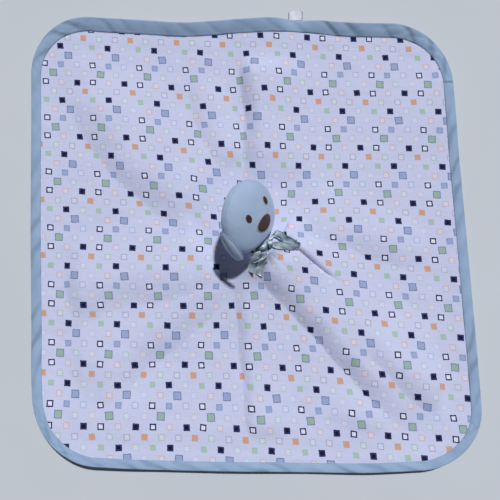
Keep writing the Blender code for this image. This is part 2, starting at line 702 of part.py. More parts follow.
def make_bow():
    """Make the bow's knot, loops and tails."""
    bm = bmesh.new()
    bmesh.ops.create_uvsphere(bm, u_segments=STITCH_SEGMENTS, v_segments=STITCH_RINGS, radius=KNOT_RADIUS)
    reach = NECK_RADIUS + RIBBON_THICKNESS + 2 * CLEARANCE + KNOT_RADIUS
    bmesh.ops.translate(bm, verts=bm.verts, vec=(0, reach, KNOT_RISE))
    add_bmesh("bow_knot", bm, RIBBON_SATIN, NECK_BASE)
    make_bow_piece("bow_loop_right", LOOP_RIGHT_SHARES, LOOP_STEPS, LOOP_RIGHT_ACROSS, True)
    make_bow_piece("bow_loop_left", LOOP_LEFT_SHARES, LOOP_STEPS, LOOP_LEFT_ACROSS, True)
    make_bow_piece("bow_tail_left", TAIL_LEFT_SHARES, TAIL_STEPS, TAIL_LEFT_ACROSS, False)
    make_bow_piece("bow_tail_right", TAIL_RIGHT_SHARES, TAIL_STEPS, TAIL_RIGHT_ACROSS, False)


clear_scene()
LOVEY = make_collection("comfort_blanket_lovey")
CUTTERS = make_collection("cutters")
HEAD_OFFSET = Vector((0, 0, HEAD_CHIN_HEIGHT + NECK_PIVOT_DROP))
NECK_BASE = add_empty("neck_base", PIVOT, HEAD_AXES)
NECK_PIVOT = add_empty("neck_pivot", PIVOT, HEAD_AXES)
HEAD_PIVOT = add_empty("head_pivot", Vector((0, 0, 0)), Matrix.Identity(3), NECK_PIVOT)
SOCKET = make_socket_cutter()

binding_grip = BINDING_WALL + CLEARANCE
make_cloth("backing_cloth", BACKING_CLOTH, 0.0, BACKING_THICKNESS, binding_grip)
printed = make_cloth("printed_cloth", PRINTED_CLOTH, BACKING_THICKNESS + CLEARANCE, PRINTED_THICKNESS,
                     binding_grip)
PRINTED_TREE = BVHTree.FromPolygons([vert.co for vert in printed.data.vertices],
                                    [face.vertices for face in printed.data.polygons])
make_binding()
make_label()
make_neck()
make_bow()
make_head_stuffing()
make_cover("head_front_cover", 1)
make_cover("head_back_cover", -1)
make_stitching("right_eye", EYE_SPREAD, EYE_HEIGHT, EYE_HALF_WIDTH, EYE_HALF_HEIGHT)
make_stitching("left_eye", -EYE_SPREAD, EYE_HEIGHT, EYE_HALF_WIDTH, EYE_HALF_HEIGHT)
make_stitching("nose", 0.0, -NOSE_DROP, NOSE_HALF_WIDTH, NOSE_HALF_HEIGHT)
make_ear("right", 1, RIGHT_EAR_ROOT_HEIGHT, RIGHT_EAR_ROOT_SETBACK, RIGHT_EAR_ALONG, RIGHT_EAR_OUT)
make_ear("left", -1, LEFT_EAR_ROOT_HEIGHT, LEFT_EAR_ROOT_SETBACK, LEFT_EAR_ALONG, LEFT_EAR_OUT)
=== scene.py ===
"""Looks of a comfort blanket lovey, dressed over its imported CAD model.

A square jersey blanket, printed with small squares, backed with velour and bound with tape, is
gathered at its middle round the neck of a small puppy's head with a satin bow under its chin.
Lengths are in metres. X runs to the right and Y up the blanket as it lies face up, and Z is up.
The head's own axes are x to the animal's right, y out of its face and z out of its crown.
"""

import logging
import math
from dataclasses import dataclass
from dataclasses import field
from enum import Enum

import bpy
import numpy as np
from mathutils import Euler
from mathutils import Matrix
from mathutils import Vector
from mathutils import noise
from mathutils.bvhtree import BVHTree


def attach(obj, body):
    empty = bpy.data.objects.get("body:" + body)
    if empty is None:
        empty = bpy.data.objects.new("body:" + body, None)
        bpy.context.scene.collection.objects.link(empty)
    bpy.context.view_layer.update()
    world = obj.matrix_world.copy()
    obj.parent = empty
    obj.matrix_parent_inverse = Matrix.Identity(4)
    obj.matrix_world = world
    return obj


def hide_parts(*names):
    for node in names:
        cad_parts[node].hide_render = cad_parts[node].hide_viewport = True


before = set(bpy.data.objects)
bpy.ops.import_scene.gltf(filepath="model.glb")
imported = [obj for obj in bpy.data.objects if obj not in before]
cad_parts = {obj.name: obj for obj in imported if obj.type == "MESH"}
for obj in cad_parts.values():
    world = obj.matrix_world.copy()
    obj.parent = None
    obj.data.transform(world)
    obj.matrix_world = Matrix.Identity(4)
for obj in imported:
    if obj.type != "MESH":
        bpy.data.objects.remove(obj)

MM = 0.001
DEGREE = math.pi / 180
LOG = logging.getLogger("lovey")


def eased(value: np.ndarray) -> np.ndarray:
    """Ease each value from 0 to 1."""
    held = np.clip(value, 0.0, 1.0)
    return held * held * (3 - 2 * held)


def linear(colour: str) -> tuple[float, float, float, float]:
    """Turn a colour as it is seen into the shader's terms.

    Args:
        colour: the colour in sRGB, as a hash and six hex digits.

    Returns:
        Its linear red, green and blue, and an alpha of 1.
    """
    parts = []
    for start in (1, 3, 5):
        share = int(colour[start:start + 2], 16) / 255
        parts.append(share / 12.92 if share <= 0.04045 else ((share + 0.055) / 1.055) ** 2.4)
    return (parts[0], parts[1], parts[2], 1.0)


def add_node(tree: bpy.types.NodeTree, kind: str, settings: dict | None = None,
             **inputs: object) -> bpy.types.Node:
    """Add a node to a material, with its settings and what goes into its sockets.

    Args:
        tree: the node tree that gets the node.
        kind: the node's type.
        settings: values of the node's own options.
        inputs: for each socket, by name or as i and its number, a value or the socket linked to it.

    Returns:
        The new node.
    """
    node = tree.nodes.new(kind)
    for name, value in (settings or {}).items():
        setattr(node, name, value)
    for name, value in inputs.items():
        key = int(name[1:]) if name[0] == "i" and name[1:].isdigit() else name.replace("_", " ")
        socket = node.inputs[key]
        if isinstance(value, bpy.types.NodeSocket):
            tree.links.new(value, socket)
        else:
            socket.default_value = value
    return node


def calc(tree: bpy.types.NodeTree, operation: str, *values: object) -> bpy.types.NodeSocket:
    """Add a math node and give its result.

    Args:
        tree: the node tree that gets the node.
        operation: the name of the sum.
        values: numbers or sockets that go into it.

    Returns:
        The socket of the result.
    """
    places = {f"i{index}": value for index, value in enumerate(values)}
    return add_node(tree, "ShaderNodeMath", {"operation": operation}, **places).outputs[0]


def clamped(tree: bpy.types.NodeTree, value: bpy.types.NodeSocket) -> bpy.types.NodeSocket:
    """Hold a value between 0 and 1."""
    return add_node(tree, "ShaderNodeClamp", None, Value=value).outputs[0]


def waved(tree: bpy.types.NodeTree, value: bpy.types.NodeSocket, pitch: float) -> bpy.types.NodeSocket:
    """Sine wave of a value, one wave in each pitch."""
    return calc(tree, "SINE", calc(tree, "MULTIPLY", value, 2 * math.pi / pitch))


def mixed(tree: bpy.types.NodeTree, share: bpy.types.NodeSocket, first: object,
          second: object) -> bpy.types.NodeSocket:
    """Mix two colours.

    Args:
        tree: the node tree that gets the node.
        share: how much of the second colour there is, from 0 to 1.
        first: the first colour, as a hash and six hex digits or as a socket.
        second: the second colour, given as the first one is.

    Returns:
        The socket of the mixed colour.
    """
    colours = [linear(colour) if isinstance(colour, str) else colour for colour in (first, second)]
    mix = add_node(tree, "ShaderNodeMix", {"data_type": "RGBA"}, i0=share, i6=colours[0], i7=colours[1])
    return mix.outputs[2]


def clouded(tree: bpy.types.NodeTree, place: bpy.types.NodeSocket, dimensions: int,
            **inputs: float) -> bpy.types.Node:
    """Add a noise texture.

    Args:
        tree: the node tree that gets the node.
        place: where the noise is read.
        dimensions: 3 in space, 2 on a map, or 1 along a single value.
        inputs: values of the node's other sockets.

    Returns:
        The node.
    """
    where = {"W" if dimensions == 1 else "Vector": place}
    return add_node(tree, "ShaderNodeTexNoise", {"noise_dimensions": f"{dimensions}D"}, **where, **inputs)


def read_map(tree: bpy.types.NodeTree, name: str) -> tuple[bpy.types.NodeSocket, ...]:
    """Place on one of a mesh's maps, then its two numbers one by one."""
    place = add_node(tree, "ShaderNodeUVMap", {"uv_map": name}).outputs[0]
    split = add_node(tree, "ShaderNodeSeparateXYZ", None, i0=place)
    return place, split.outputs[0], split.outputs[1]


def read_space(tree: bpy.types.NodeTree) -> bpy.types.NodeSocket:
    """Place in the piece's own space."""
    return add_node(tree, "ShaderNodeTexCoord").outputs["Object"]


def dress(tree: bpy.types.NodeTree, colour: bpy.types.NodeSocket, **values: object) -> None:
    """Give a material's shader its colour, and values for its other sockets by name."""
    shader = tree.nodes["Principled BSDF"]
    tree.links.new(colour, shader.inputs["Base Color"])
    for name, value in values.items():
        shader.inputs[name.replace("_", " ")].default_value = value


def emboss(tree: bpy.types.NodeTree, height: bpy.types.NodeSocket, strength: float,
           distance: float = 1.0) -> None:
    """Give a material's shader relief."""
    bump = add_node(tree, "ShaderNodeBump", None, Strength=strength, Distance=distance, Height=height)
    tree.links.new(bump.outputs[0], tree.nodes["Principled BSDF"].inputs["Normal"])


def grid_faces(rows: int, columns: int, first: int = 0, ring: bool = False) -> list[tuple[int, ...]]:
    """Faces of a grid of points that are numbered row by row.

    Args:
        rows: how many rows it has.
        columns: how many points each row has.
        first: the number of its first point.
        ring: whether each row closes on itself.

    Returns:
        The faces, as numbers of points.
    """
    faces = []
    for row in range(rows - 1):
        for column in range(columns if ring else columns - 1):
            here = first + row * columns + column
            after = first + row * columns + (column + 1) % columns
            faces.append((here, after, after + columns, here + columns))
    return faces


def wall_faces(line: list[int], other: list[int], ring: bool) -> list[tuple[int, ...]]:
    """Faces that join two lines of points.

    Args:
        line: numbers of the first line's points.
        other: numbers of the second line's points.
        ring: whether the lines close on themselves.

    Returns:
        The faces, as numbers of points.
    """
    last = len(line) if ring else len(line) - 1
    return [(line[at], line[(at + 1) % len(line)], other[(at + 1) % len(line)], other[at])
            for at in range(last)]


def slab_faces(rows: int, columns: int) -> list[tuple[int, ...]]:
    """Faces of a thin closed slab: a grid of points, as many points again for its other side, and its rim.

    Args:
        rows: how many rows each side has.
        columns: how many points each row has.

    Returns:
        The faces, as numbers of points.
    """
    count = rows * columns
    faces = grid_faces(rows, columns) + [face[::-1] for face in grid_faces(rows, columns, count)]
    rim = list(range(columns)) + [row * columns + columns - 1 for row in range(1, rows)]
    rim += list(range(count - 2, count - columns - 1, -1))
    rim += [row * columns for row in range(rows - 2, 0, -1)]
    return faces + wall_faces(rim, [count + at for at in rim], True)


def new_mesh(name: str, points: np.ndarray, faces: list[tuple[int, ...]]) -> bpy.types.Mesh:
    """Make a smooth mesh whose faces all look outward.

    Args:
        name: the mesh's name.
        points: its points, one row each.
        faces: its faces, as numbers of points.

    Returns:
        The mesh.
    """
    mesh = bpy.data.meshes.new(name)
    mesh.from_pydata([tuple(point) for point in points], [], faces)
    mesh.validate()
    mesh.update()
    corners = np.array(points)
    volume = 0.0
    for face in faces:
        for second, third in zip(face[1:], face[2:]):
            volume += np.dot(corners[face[0]], np.cross(corners[second], corners[third]))
    if volume < 0:
        mesh.flip_normals()
    mesh.shade_smooth()
    return mesh


def new_piece(name: str, mesh: bpy.types.Mesh, finish: "Finish") -> bpy.types.Object:
    """Put a mesh in the scene as a piece, with its finish."""
    obj = bpy.data.objects.new(name, mesh)
    bpy.context.scene.collection.objects.link(obj)
    mesh.materials.append(finish.material())
    return obj


def settle(piece: bpy.types.Object, body: str, slot: str, *nodes: str) -> None:
    """Let a piece move with its body and hide the solids it stands for."""
    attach(piece, body)
    if nodes:
        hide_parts(*nodes)
    LOG.info("%s rides on %s and stands for %s", piece.name, body, ", ".join(nodes) or "no solid")


def add_map(mesh: bpy.types.Mesh, name: str, places: np.ndarray) -> None:
    """Give a mesh a map of its points' places on the cut cloth.

    Args:
        mesh: the mesh.
        name: the map's name.
        places: two numbers for each point.
    """
    layer = mesh.uv_layers.new(name=name)
    corners = np.zeros(len(mesh.loops), dtype=np.int32)
    mesh.loops.foreach_get("vertex_index", corners)
    layer.data.foreach_set("uv", np.ascontiguousarray(places[corners], dtype=np.float32).ravel())


def smooth_path(points: np.ndarray, steps: int) -> np.ndarray:
    """Points of a smooth curve through given points.

    Args:
        points: the points that it goes through, one row each.
        steps: how many steps there are from each point to the next.

    Returns:
        The curve's points, one row each.
    """
    padded = np.vstack((points[:1] * 2 - points[1:2], points, points[-1:] * 2 - points[-2:-1]))
    path = []
    for index in range(1, len(padded) - 2):
        before, start, end, after = padded[index - 1:index + 3]
        for step in range(steps):
            share = step / steps
            path.append(0.5 * (2 * start + (end - before) * share
                               + (2 * before - 5 * start + 4 * end - after) * share ** 2
                               + (3 * start - before - 3 * end + after) * share ** 3))
    path.append(points[-1])
    return np.array(path)


def ripple(points: np.ndarray, size: float, seed: float) -> np.ndarray:
    """Soft unevenness at each point, from about -1 to 1.

    Args:
        points: the points, one row each.
        size: the size of its bumps.
        seed: a number that picks one unevenness from the many.

    Returns:
        One number for each point.
    """
    shift = Vector((seed, -seed, seed / 2))
    return np.array([noise.noise(Vector(point) / size + shift) for point in points])


class Finish:
    """A finish: one material, made when it is first asked for."""

    title = "finish"

    def material(self) -> bpy.types.Material:
        """Make the material, or find it if it is made already."""
        made = bpy.data.materials.get(self.title)
        if made is None:
            made = bpy.data.materials.new(self.title)
            made.use_nodes = True
            self.paint(made.node_tree)
        return made

    def paint(self, tree: bpy.types.NodeTree) -> None:
        """Give the material its colours and relief; each finish has its own."""


class Hue(Enum):
    """Ink of the printed squares, as it shows on the cloth."""

    ORANGE = "#c99d86"
    PEACH = "#d0afb0"
    MAUVE = "#a59fb4"
    GREEN = "#9cbba8"
    PALE_GREEN = "#a8bfb6"
    LEAF = "#86aa92"
    SLATE = "#35507a"
    NAVY = "#090f42"
    BLUE = "#6784b9"
    LIGHT_BLUE = "#7890c0"
    PALE_BLUE = "#a3b4dd"
    WHITE = "#dfe3f8"


@dataclass(frozen=True)
class PrintedSquare:
    """One of the print's squares: its inks, how strong they are, and its sizes."""

    fill: Hue
    fill_share: float
    stroke: Hue
    stroke_share: float
    half: float = 2.8 * MM
    stroke_width: float = 0.9 * MM
    scribble: float = 0.0


def solid(hue: Hue, share: float = 1.0, half: float = 2.8 * MM, scribble: float = 0.0) -> PrintedSquare:
    """A square inked all over."""
    return PrintedSquare(hue, share, hue, share, half, 0.9 * MM, scribble)


def line(hue: Hue, share: float = 1.0, width: float = 0.9 * MM, pale: float = 0.3) -> PrintedSquare:
    """A square of which the outline is inked, and the middle is left a little paler than the cloth."""
    return PrintedSquare(Hue.WHITE, pale, hue, share, 2.9 * MM, width)


# The print's repeat, three squares across in each of six rows, from its lowest row up
PRINT_ROWS = (
    (solid(Hue.ORANGE), line(Hue.PALE_GREEN, 0.9), line(Hue.MAUVE, 0.8, 0.8 * MM)),
    (solid(Hue.NAVY, 1.0, 2.9 * MM), line(Hue.NAVY, 1.0, 1.05 * MM, 0.7), line(Hue.PEACH, 0.8)),
    (line(Hue.PEACH, 0.4), PrintedSquare(Hue.LEAF, 0.95, Hue.SLATE, 0.75, 3.6 * MM, 0.7 * MM, 0.3),
     line(Hue.PALE_GREEN, 0.6)),
    (line(Hue.PALE_BLUE, 0.9, 0.8 * MM), line(Hue.NAVY, 1.0, 1.05 * MM, 0.7),
     solid(Hue.LIGHT_BLUE, 0.85, 2.9 * MM, 0.5)),
    (line(Hue.PALE_BLUE, 0.2), line(Hue.PEACH, 0.85),
     PrintedSquare(Hue.BLUE, 0.85, Hue.SLATE, 0.8, 3.6 * MM, 0.7 * MM, 0.6)),
    (line(Hue.PALE_GREEN, 0.5), solid(Hue.GREEN, 0.9, 2.6 * MM, 0.15), solid(Hue.NAVY, 1.0, 2.9 * MM)),
)


@dataclass(frozen=True)
class PrintedJersey(Finish):
    """Light cotton jersey, printed with small hand-drawn squares in staggered rows."""

    title: str = "printed_cotton_jersey"
    cloth: str = "#bdc4e4"
    pale_cloth: str = "#c5ccec"
    column_pitch: float = 14.65 * MM
    row_pitch: float = 8.68 * MM
    largest_half: float = 5 * MM
    widest_stroke: float = 2 * MM
    # How far a square sits off its place, how far its sides waver, and how steeply it tilts
    drift: float = 0.5 * MM
    waver: float = 0.7 * MM
    tilt: float = 0.16
    rounding: float = 0.25 * MM
    blur: float = 0.22 * MM
    # The pencil-like lines in a scribbled square: how fine they are, and how steeply they lean
    pencil: float = 0.16 * MM
    pencil_lean: float = 0.25
    # The knit's wales and courses, and the cloth's own soft creasing
    wale: float = 0.8 * MM
    course: float = 0.6 * MM
    knit: float = 0.04 * MM
    creasing: float = 0.9 * MM

    def inks(self, tree: bpy.types.NodeTree, number: bpy.types.NodeSocket,
             colours: list[tuple[float, ...]]) -> bpy.types.Node:
        """Pick one of the squares' colours by the square's number.

        Args:
            tree: the material's node tree.
            number: the square's number as a share of all of them.
            colours: one colour and strength for each square, in order.

        Returns:
            The colour ramp.
        """
        ramp = add_node(tree, "ShaderNodeValToRGB", None, Fac=number)
        ramp.color_ramp.interpolation = "CONSTANT"
        for index, colour in enumerate(colours):
            stops = ramp.color_ramp.elements
            stop = stops[index] if index < 2 else stops.new(index / len(colours))
            stop.position = index / len(colours)
            stop.color = colour
        return ramp

    def hand_drawn(self, tree: bpy.types.NodeTree, place: bpy.types.NodeSocket,
                   steps: tuple[bpy.types.NodeSocket, ...],
                   cell: tuple[bpy.types.NodeSocket, ...]) -> tuple[bpy.types.NodeSocket, ...]:
        """Distances across and up from a square's middle, a little off and aslant as if drawn by hand.

        Args:
            tree: the material's node tree.
            place: the place on the print's map.
            steps: the same place counted in columns and in rows.
            cell: the square's column and row.

        Returns:
            The two distances.
        """
        corner = add_node(tree, "ShaderNodeCombineXYZ", None, X=cell[0], Y=cell[1]).outputs[0]
        chance = add_node(tree, "ShaderNodeTexWhiteNoise", {"noise_dimensions": "3D"}, Vector=corner)
        drift = add_node(tree, "ShaderNodeSeparateXYZ", None, i0=chance.outputs["Color"])
        wavering = clouded(tree, place, 2, Scale=6.0, Detail=2.0)
        waver = add_node(tree, "ShaderNodeSeparateXYZ", None, i0=wavering.outputs["Color"])
        sides = []
        for axis, pitch in enumerate((self.column_pitch, self.row_pitch)):
            aside = calc(tree, "MULTIPLY", calc(tree, "SUBTRACT", steps[axis], cell[axis]), pitch)
            for chances, size in ((drift, self.drift), (waver, self.waver)):
                off = calc(tree, "SUBTRACT", chances.outputs[axis], 0.5)
                aside = calc(tree, "MULTIPLY_ADD", off, size, aside)
            sides.append(aside)
        tilt = calc(tree, "MULTIPLY", calc(tree, "SUBTRACT", drift.outputs[2], 0.5), self.tilt)
        return (calc(tree, "MULTIPLY_ADD", sides[1], tilt, sides[0]),
                calc(tree, "SUBTRACT", sides[1], calc(tree, "MULTIPLY", sides[0], tilt)))

    def paint(self, tree: bpy.types.NodeTree) -> None:
        """Print the squares on the cloth, and give it its fine ribbed knit."""
        squares = [square for row in PRINT_ROWS for square in row]
        place, across, up = read_map(tree, "repeat")
        row = calc(tree, "FLOOR", calc(tree, "ADD", up, 0.5))
        odd = calc(tree, "FLOORED_MODULO", row, 2.0)
        moved = calc(tree, "ADD", across, calc(tree, "MULTIPLY", odd, 0.5))
        column = calc(tree, "FLOOR", calc(tree, "ADD", moved, 0.5))
        rows, columns = float(len(PRINT_ROWS)), float(len(PRINT_ROWS[0]))
        kind = calc(tree, "MULTIPLY_ADD", calc(tree, "FLOORED_MODULO", row, rows), columns,
                    calc(tree, "FLOORED_MODULO", column, columns))
        number = calc(tree, "DIVIDE", calc(tree, "ADD", kind, 0.5), float(len(squares)))
        fills = self.inks(tree, number, [(*linear(s.fill.value)[:3], s.fill_share) for s in squares])
        strokes = self.inks(tree, number, [(*linear(s.stroke.value)[:3], s.stroke_share) for s in squares])
        sizes = self.inks(tree, number, [(s.half / self.largest_half, s.stroke_width / self.widest_stroke,
                                          s.scribble, 1.0) for s in squares])
        size = add_node(tree, "ShaderNodeSeparateXYZ", None, i0=sizes.outputs[0])
        turned = self.hand_drawn(tree, place, (moved, up), (column, row))
        reach = calc(tree, "SMOOTH_MAX", calc(tree, "ABSOLUTE", turned[0]),
                     calc(tree, "ABSOLUTE", turned[1]), self.rounding)
        half = calc(tree, "MULTIPLY", size.outputs[0], self.largest_half)
        stroke = calc(tree, "MULTIPLY", size.outputs[1], self.widest_stroke)
        core = calc(tree, "SUBTRACT", half, stroke)
        within = clamped(tree, calc(tree, "DIVIDE", calc(tree, "SUBTRACT", half, reach), self.blur))
        hollow = clamped(tree, calc(tree, "DIVIDE", calc(tree, "SUBTRACT", core, reach), self.blur))
        band = calc(tree, "SUBTRACT", within, hollow)
        leaning = calc(tree, "ADD", turned[0], calc(tree, "MULTIPLY", turned[1], self.pencil_lean))
        lines = calc(tree, "SINE", calc(tree, "DIVIDE", leaning, self.pencil))
        gaps = calc(tree, "MULTIPLY", calc(tree, "MULTIPLY_ADD", lines, 0.5, 0.5), size.outputs[2])
        full = calc(tree, "MULTIPLY", fills.outputs["Alpha"], calc(tree, "SUBTRACT", 1.0, gaps))
        shade = clouded(tree, place, 2, Scale=0.35, Detail=3.0)
        cloth = mixed(tree, shade.outputs["Fac"], self.cloth, self.pale_cloth)
        inked = mixed(tree, calc(tree, "MULTIPLY", hollow, full), cloth, fills.outputs["Color"])
        outlined = calc(tree, "MULTIPLY", band, strokes.outputs["Alpha"])
        dress(tree, mixed(tree, outlined, inked, strokes.outputs["Color"]), Roughness=0.85,
              Specular_IOR_Level=0.2)
        wales = waved(tree, across, self.wale / self.column_pitch)
        courses = waved(tree, up, self.course / self.row_pitch)
        knit = calc(tree, "MULTIPLY", calc(tree, "MULTIPLY", wales, courses), self.knit)
        creasing = clouded(tree, place, 2, Scale=0.9, Detail=4.0, Roughness=0.6)
        emboss(tree, calc(tree, "MULTIPLY_ADD", creasing.outputs["Fac"], self.creasing, knit), 0.7)


@dataclass(frozen=True)
class Velour(Finish):
    """Brushed cotton velour, whose short pile catches light at its edges."""

    title: str = "blue_velour"
    colour: str = "#a6bbd8"
    deep: str = "#93a9c9"
    lit: str = "#d7e4f6"
    pile: float = 0.5 * MM
    sheen: float = 0.6
    # How fine the nap and the brush marks are beside the pile, and the nap's share of the mottling
    nap_grain: float = 0.35
    brush_grain: float = 0.06
    nap_share: float = 0.55

    def paint(self, tree: bpy.types.NodeTree) -> None:
        """Give the pile its mottled colour, its nap and its sheen."""
        place = read_space(tree)
        nap = clouded(tree, place, 3, Scale=self.nap_grain / self.pile, Detail=3.0, Roughness=0.65)
        brush = clouded(tree, place, 3, Scale=self.brush_grain / self.pile, Detail=2.0)
        brushed = calc(tree, "MULTIPLY", brush.outputs["Fac"], 1 - self.nap_share)
        tone = calc(tree, "MULTIPLY_ADD", nap.outputs["Fac"], self.nap_share, brushed)
        dress(tree, mixed(tree, tone, self.deep, self.colour), Roughness=0.95, Sheen_Weight=self.sheen,
              Sheen_Roughness=0.45, Sheen_Tint=linear(self.lit))
        emboss(tree, nap.outputs["Fac"], 0.55, 0.6 * self.pile)


@dataclass(frozen=True)
class BindingKnit(Finish):
    """Blue knitted tape, with fine ribs across it and creases where it twisted as it was sewn on."""

    title: str = "blue_binding_knit"
    colour: str = "#9cb5d5"
    deep: str = "#829dc0"
    # Colour of the painted shade in the creases
    shade: str = "#4c6178"
    rib: float = 0.9 * MM
    rib_relief: float = 0.03 * MM
    course: float = 0.7 * MM
    course_relief: float = 0.02 * MM
    fuzz: float = 0.12 * MM
    # The creases: their spacing, lean and unevenness, how narrow and deep they are, how dark the painted
    # shade in them is, and how much of the tape's length they keep to
    crease: float = 4.2 * MM
    slant: float = 0.42
    sway: float = 5.0
    narrowness: float = 2.5
    crease_relief: float = 1.6 * MM
    crease_shade_share: float = 0.4
    contrast: float = 4.0
    calm: float = 1.6
    least: float = 0.15

    def creases(self, tree: bpy.types.NodeTree, place: bpy.types.NodeSocket, along: bpy.types.NodeSocket,
                inward: bpy.types.NodeSocket) -> bpy.types.NodeSocket:
        """Slanting creases, deep in some lengths of the tape and hardly there in others.

        Args:
            tree: the material's node tree.
            place: the place on the tape's map.
            along: the same place's distance along the tape.
            inward: its distance in from the tape's outer edge.

        Returns:
            How deep the creases are, from 0 to 1.
        """
        sway = clouded(tree, place, 2, Scale=35.0, Detail=1.0)
        spaced = calc(tree, "DIVIDE", along, self.crease)
        slanted = calc(tree, "MULTIPLY_ADD", inward, self.slant / MM, spaced)
        wound = calc(tree, "SINE", calc(tree, "MULTIPLY_ADD", sway.outputs["Fac"], self.sway, slanted))
        valley = calc(tree, "POWER", calc(tree, "MULTIPLY_ADD", wound, 0.5, 0.5), self.narrowness)
        lengths = clouded(tree, along, 1, Scale=11.0, Detail=1.0)
        depth = clamped(tree, calc(tree, "MULTIPLY_ADD", lengths.outputs["Fac"], self.contrast, -self.calm))
        return calc(tree, "MULTIPLY", valley, calc(tree, "MULTIPLY_ADD", depth, 1 - self.least, self.least))

    def paint(self, tree: bpy.types.NodeTree) -> None:
        """Give the tape its ribs, its creases with painted shade in them, and its blue mottled with painted
        shade.
        """
        place, along, inward = read_map(tree, "tape")
        ribs = waved(tree, along, self.rib)
        courses = waved(tree, inward, self.course)
        fuzz = clouded(tree, place, 2, Scale=900.0, Detail=3.0)
        # Painted shade: a soft mottle of darker blue, standing in for the shade of crumpled tape
        mottled_shade = clouded(tree, place, 2, Scale=70.0, Detail=3.0)
        creased = self.creases(tree, place, along, inward)
        tone = calc(tree, "MULTIPLY_ADD", mottled_shade.outputs["Fac"], 0.8, calc(tree, "MULTIPLY", ribs, 0.12))
        blue = mixed(tree, tone, self.deep, self.colour)
        # Painted shade: the colour darkens towards the shade colour in the creases' valleys
        painted_crease_shade = calc(tree, "MULTIPLY", creased, self.crease_shade_share)
        dress(tree, mixed(tree, painted_crease_shade, blue, self.shade), Roughness=0.9, Sheen_Weight=0.25)
        relief = calc(tree, "MULTIPLY", courses, self.course_relief)
        relief = calc(tree, "MULTIPLY_ADD", ribs, self.rib_relief, relief)
        relief = calc(tree, "MULTIPLY_ADD", fuzz.outputs["Fac"], self.fuzz, relief)
        emboss(tree, calc(tree, "MULTIPLY_ADD", creased, -self.crease_relief, relief), 0.6)


@dataclass(frozen=True)
class Satin(Finish):
    """Satin ribbon: smooth and bright, with weft so fine that it only softens its shine."""

    title: str = "silver_green_satin"
    # colour is the pale silver of the painted highlight, and deep the dark teal of the painted shade
    colour: str = "#d2e2ec"
    deep: str = "#54718a"
    roughness: float = 0.2
    coat: float = 0.5
    # The creases that run out from the knot and break the shine into bright and dark bands, painted into the
    # colour as painted
    # highlight and painted shade: their size, their stretch along the ribbon, their depth, and how sharply
    # and how darkly they show
    crumple: float = 7.5 * MM
    stretch: float = 0.6
    crease_relief: float = 2.4 * MM
    contrast: float = 3.0
    painted_shade_offset: float = 0.9
    weft: float = 0.35 * MM
    weft_relief: float = 0.012 * MM
    warp: float = 0.3 * MM
    warp_relief: float = 0.008 * MM

    def paint(self, tree: bpy.types.NodeTree) -> None:
        """Give the ribbon its shine, partly painted into its colour as bands of painted highlight and
        painted shade, its soft creases and the fine ribs of its weave.
        """
        place, along, across = read_map(tree, "ribbon")
        drawn = add_node(tree, "ShaderNodeMapping", None, Vector=place, Scale=(self.stretch, 1.0, 1.0))
        creases = clouded(tree, drawn.outputs[0], 2, Scale=1 / self.crumple, Detail=1.0)
        # Painted highlight and painted shade: the colour runs from the dark teal to the pale silver across
        # the crease bands
        bright = calc(tree, "MULTIPLY_ADD", creases.outputs["Fac"], self.contrast, -self.painted_shade_offset)
        tone = clamped(tree, bright)
        dress(tree, mixed(tree, tone, self.deep, self.colour), Roughness=self.roughness,
              Specular_IOR_Level=0.9, Coat_Weight=self.coat, Coat_Roughness=0.25)
        relief = calc(tree, "MULTIPLY", waved(tree, across, self.warp), self.warp_relief)
        relief = calc(tree, "MULTIPLY_ADD", waved(tree, along, self.weft), self.weft_relief, relief)
        emboss(tree, calc(tree, "MULTIPLY_ADD", creases.outputs["Fac"], self.crease_relief, relief), 0.8)


@dataclass(frozen=True)
class Embroidery(Finish):
    """Dark brown embroidery thread in satin stitch, with a paler edge of underlay."""

    title: str = "brown_satin_stitch"
    dark: str = "#2c1a19"
    light: str = "#452b29"
    edge: str = "#a58a8e"
    edge_from: float = 0.93
    edge_width: float = 0.05

    def paint(self, tree: bpy.types.NodeTree) -> None:
        """Shade each thread, and let the edge turn paler."""
        _, outward, lane = read_map(tree, "stitch")
        strands = clouded(tree, lane, 1, Scale=40.0, Detail=1.0)
        thread = mixed(tree, strands.outputs["Fac"], self.dark, self.light)
        beyond = calc(tree, "SUBTRACT", outward, self.edge_from)
        rim = clamped(tree, calc(tree, "DIVIDE", beyond, self.edge_width))
        dress(tree, mixed(tree, rim, thread, self.edge), Roughness=0.45, Sheen_Weight=0.1)


@dataclass(frozen=True)
class Thread(Finish):
    """Blue polyester sewing thread, twisted."""

    title: str = "blue_sewing_thread"
    colour: str = "#8aa6c4"
    pale: str = "#a9c0d8"

    def paint(self, tree: bpy.types.NodeTree) -> None:
        """Give the thread its twist."""
        twist = clouded(tree, read_space(tree), 3, Scale=1500.0)
        dress(tree, mixed(tree, twist.outputs["Fac"], self.colour, self.pale), Roughness=0.5)


@dataclass(frozen=True)
class FibreFill(Finish):
    """White polyester fibre."""

    title: str = "white_fibre_fill"
    colour: str = "#e9e8e4"
    deep: str = "#d4d3ce"
    tuft: float = 0.5 * MM

    def paint(self, tree: bpy.types.NodeTree) -> None:
        """Give the fibre its tangle."""
        tangle = clouded(tree, read_space(tree), 3, Scale=600.0, Detail=4.0, Distortion=1.5)
        dress(tree, mixed(tree, tangle.outputs["Fac"], self.deep, self.colour), Roughness=1.0)
        emboss(tree, tangle.outputs["Fac"], 0.8, self.tuft)


@dataclass(frozen=True)
class Groundsheet(Finish):
    """Plain pale grey floor."""

    title: str = "pale_floor"
    colour: str = "#c4cbd5"
    deep: str = "#bdc4ce"

    def paint(self, tree: bpy.types.NodeTree) -> None:
        """Give the floor its plain colour, very slightly uneven."""
        cloud = clouded(tree, read_space(tree), 3, Scale=6.0, Detail=3.0)
        dress(tree, mixed(tree, cloud.outputs["Fac"], self.deep, self.colour), Roughness=0.9)


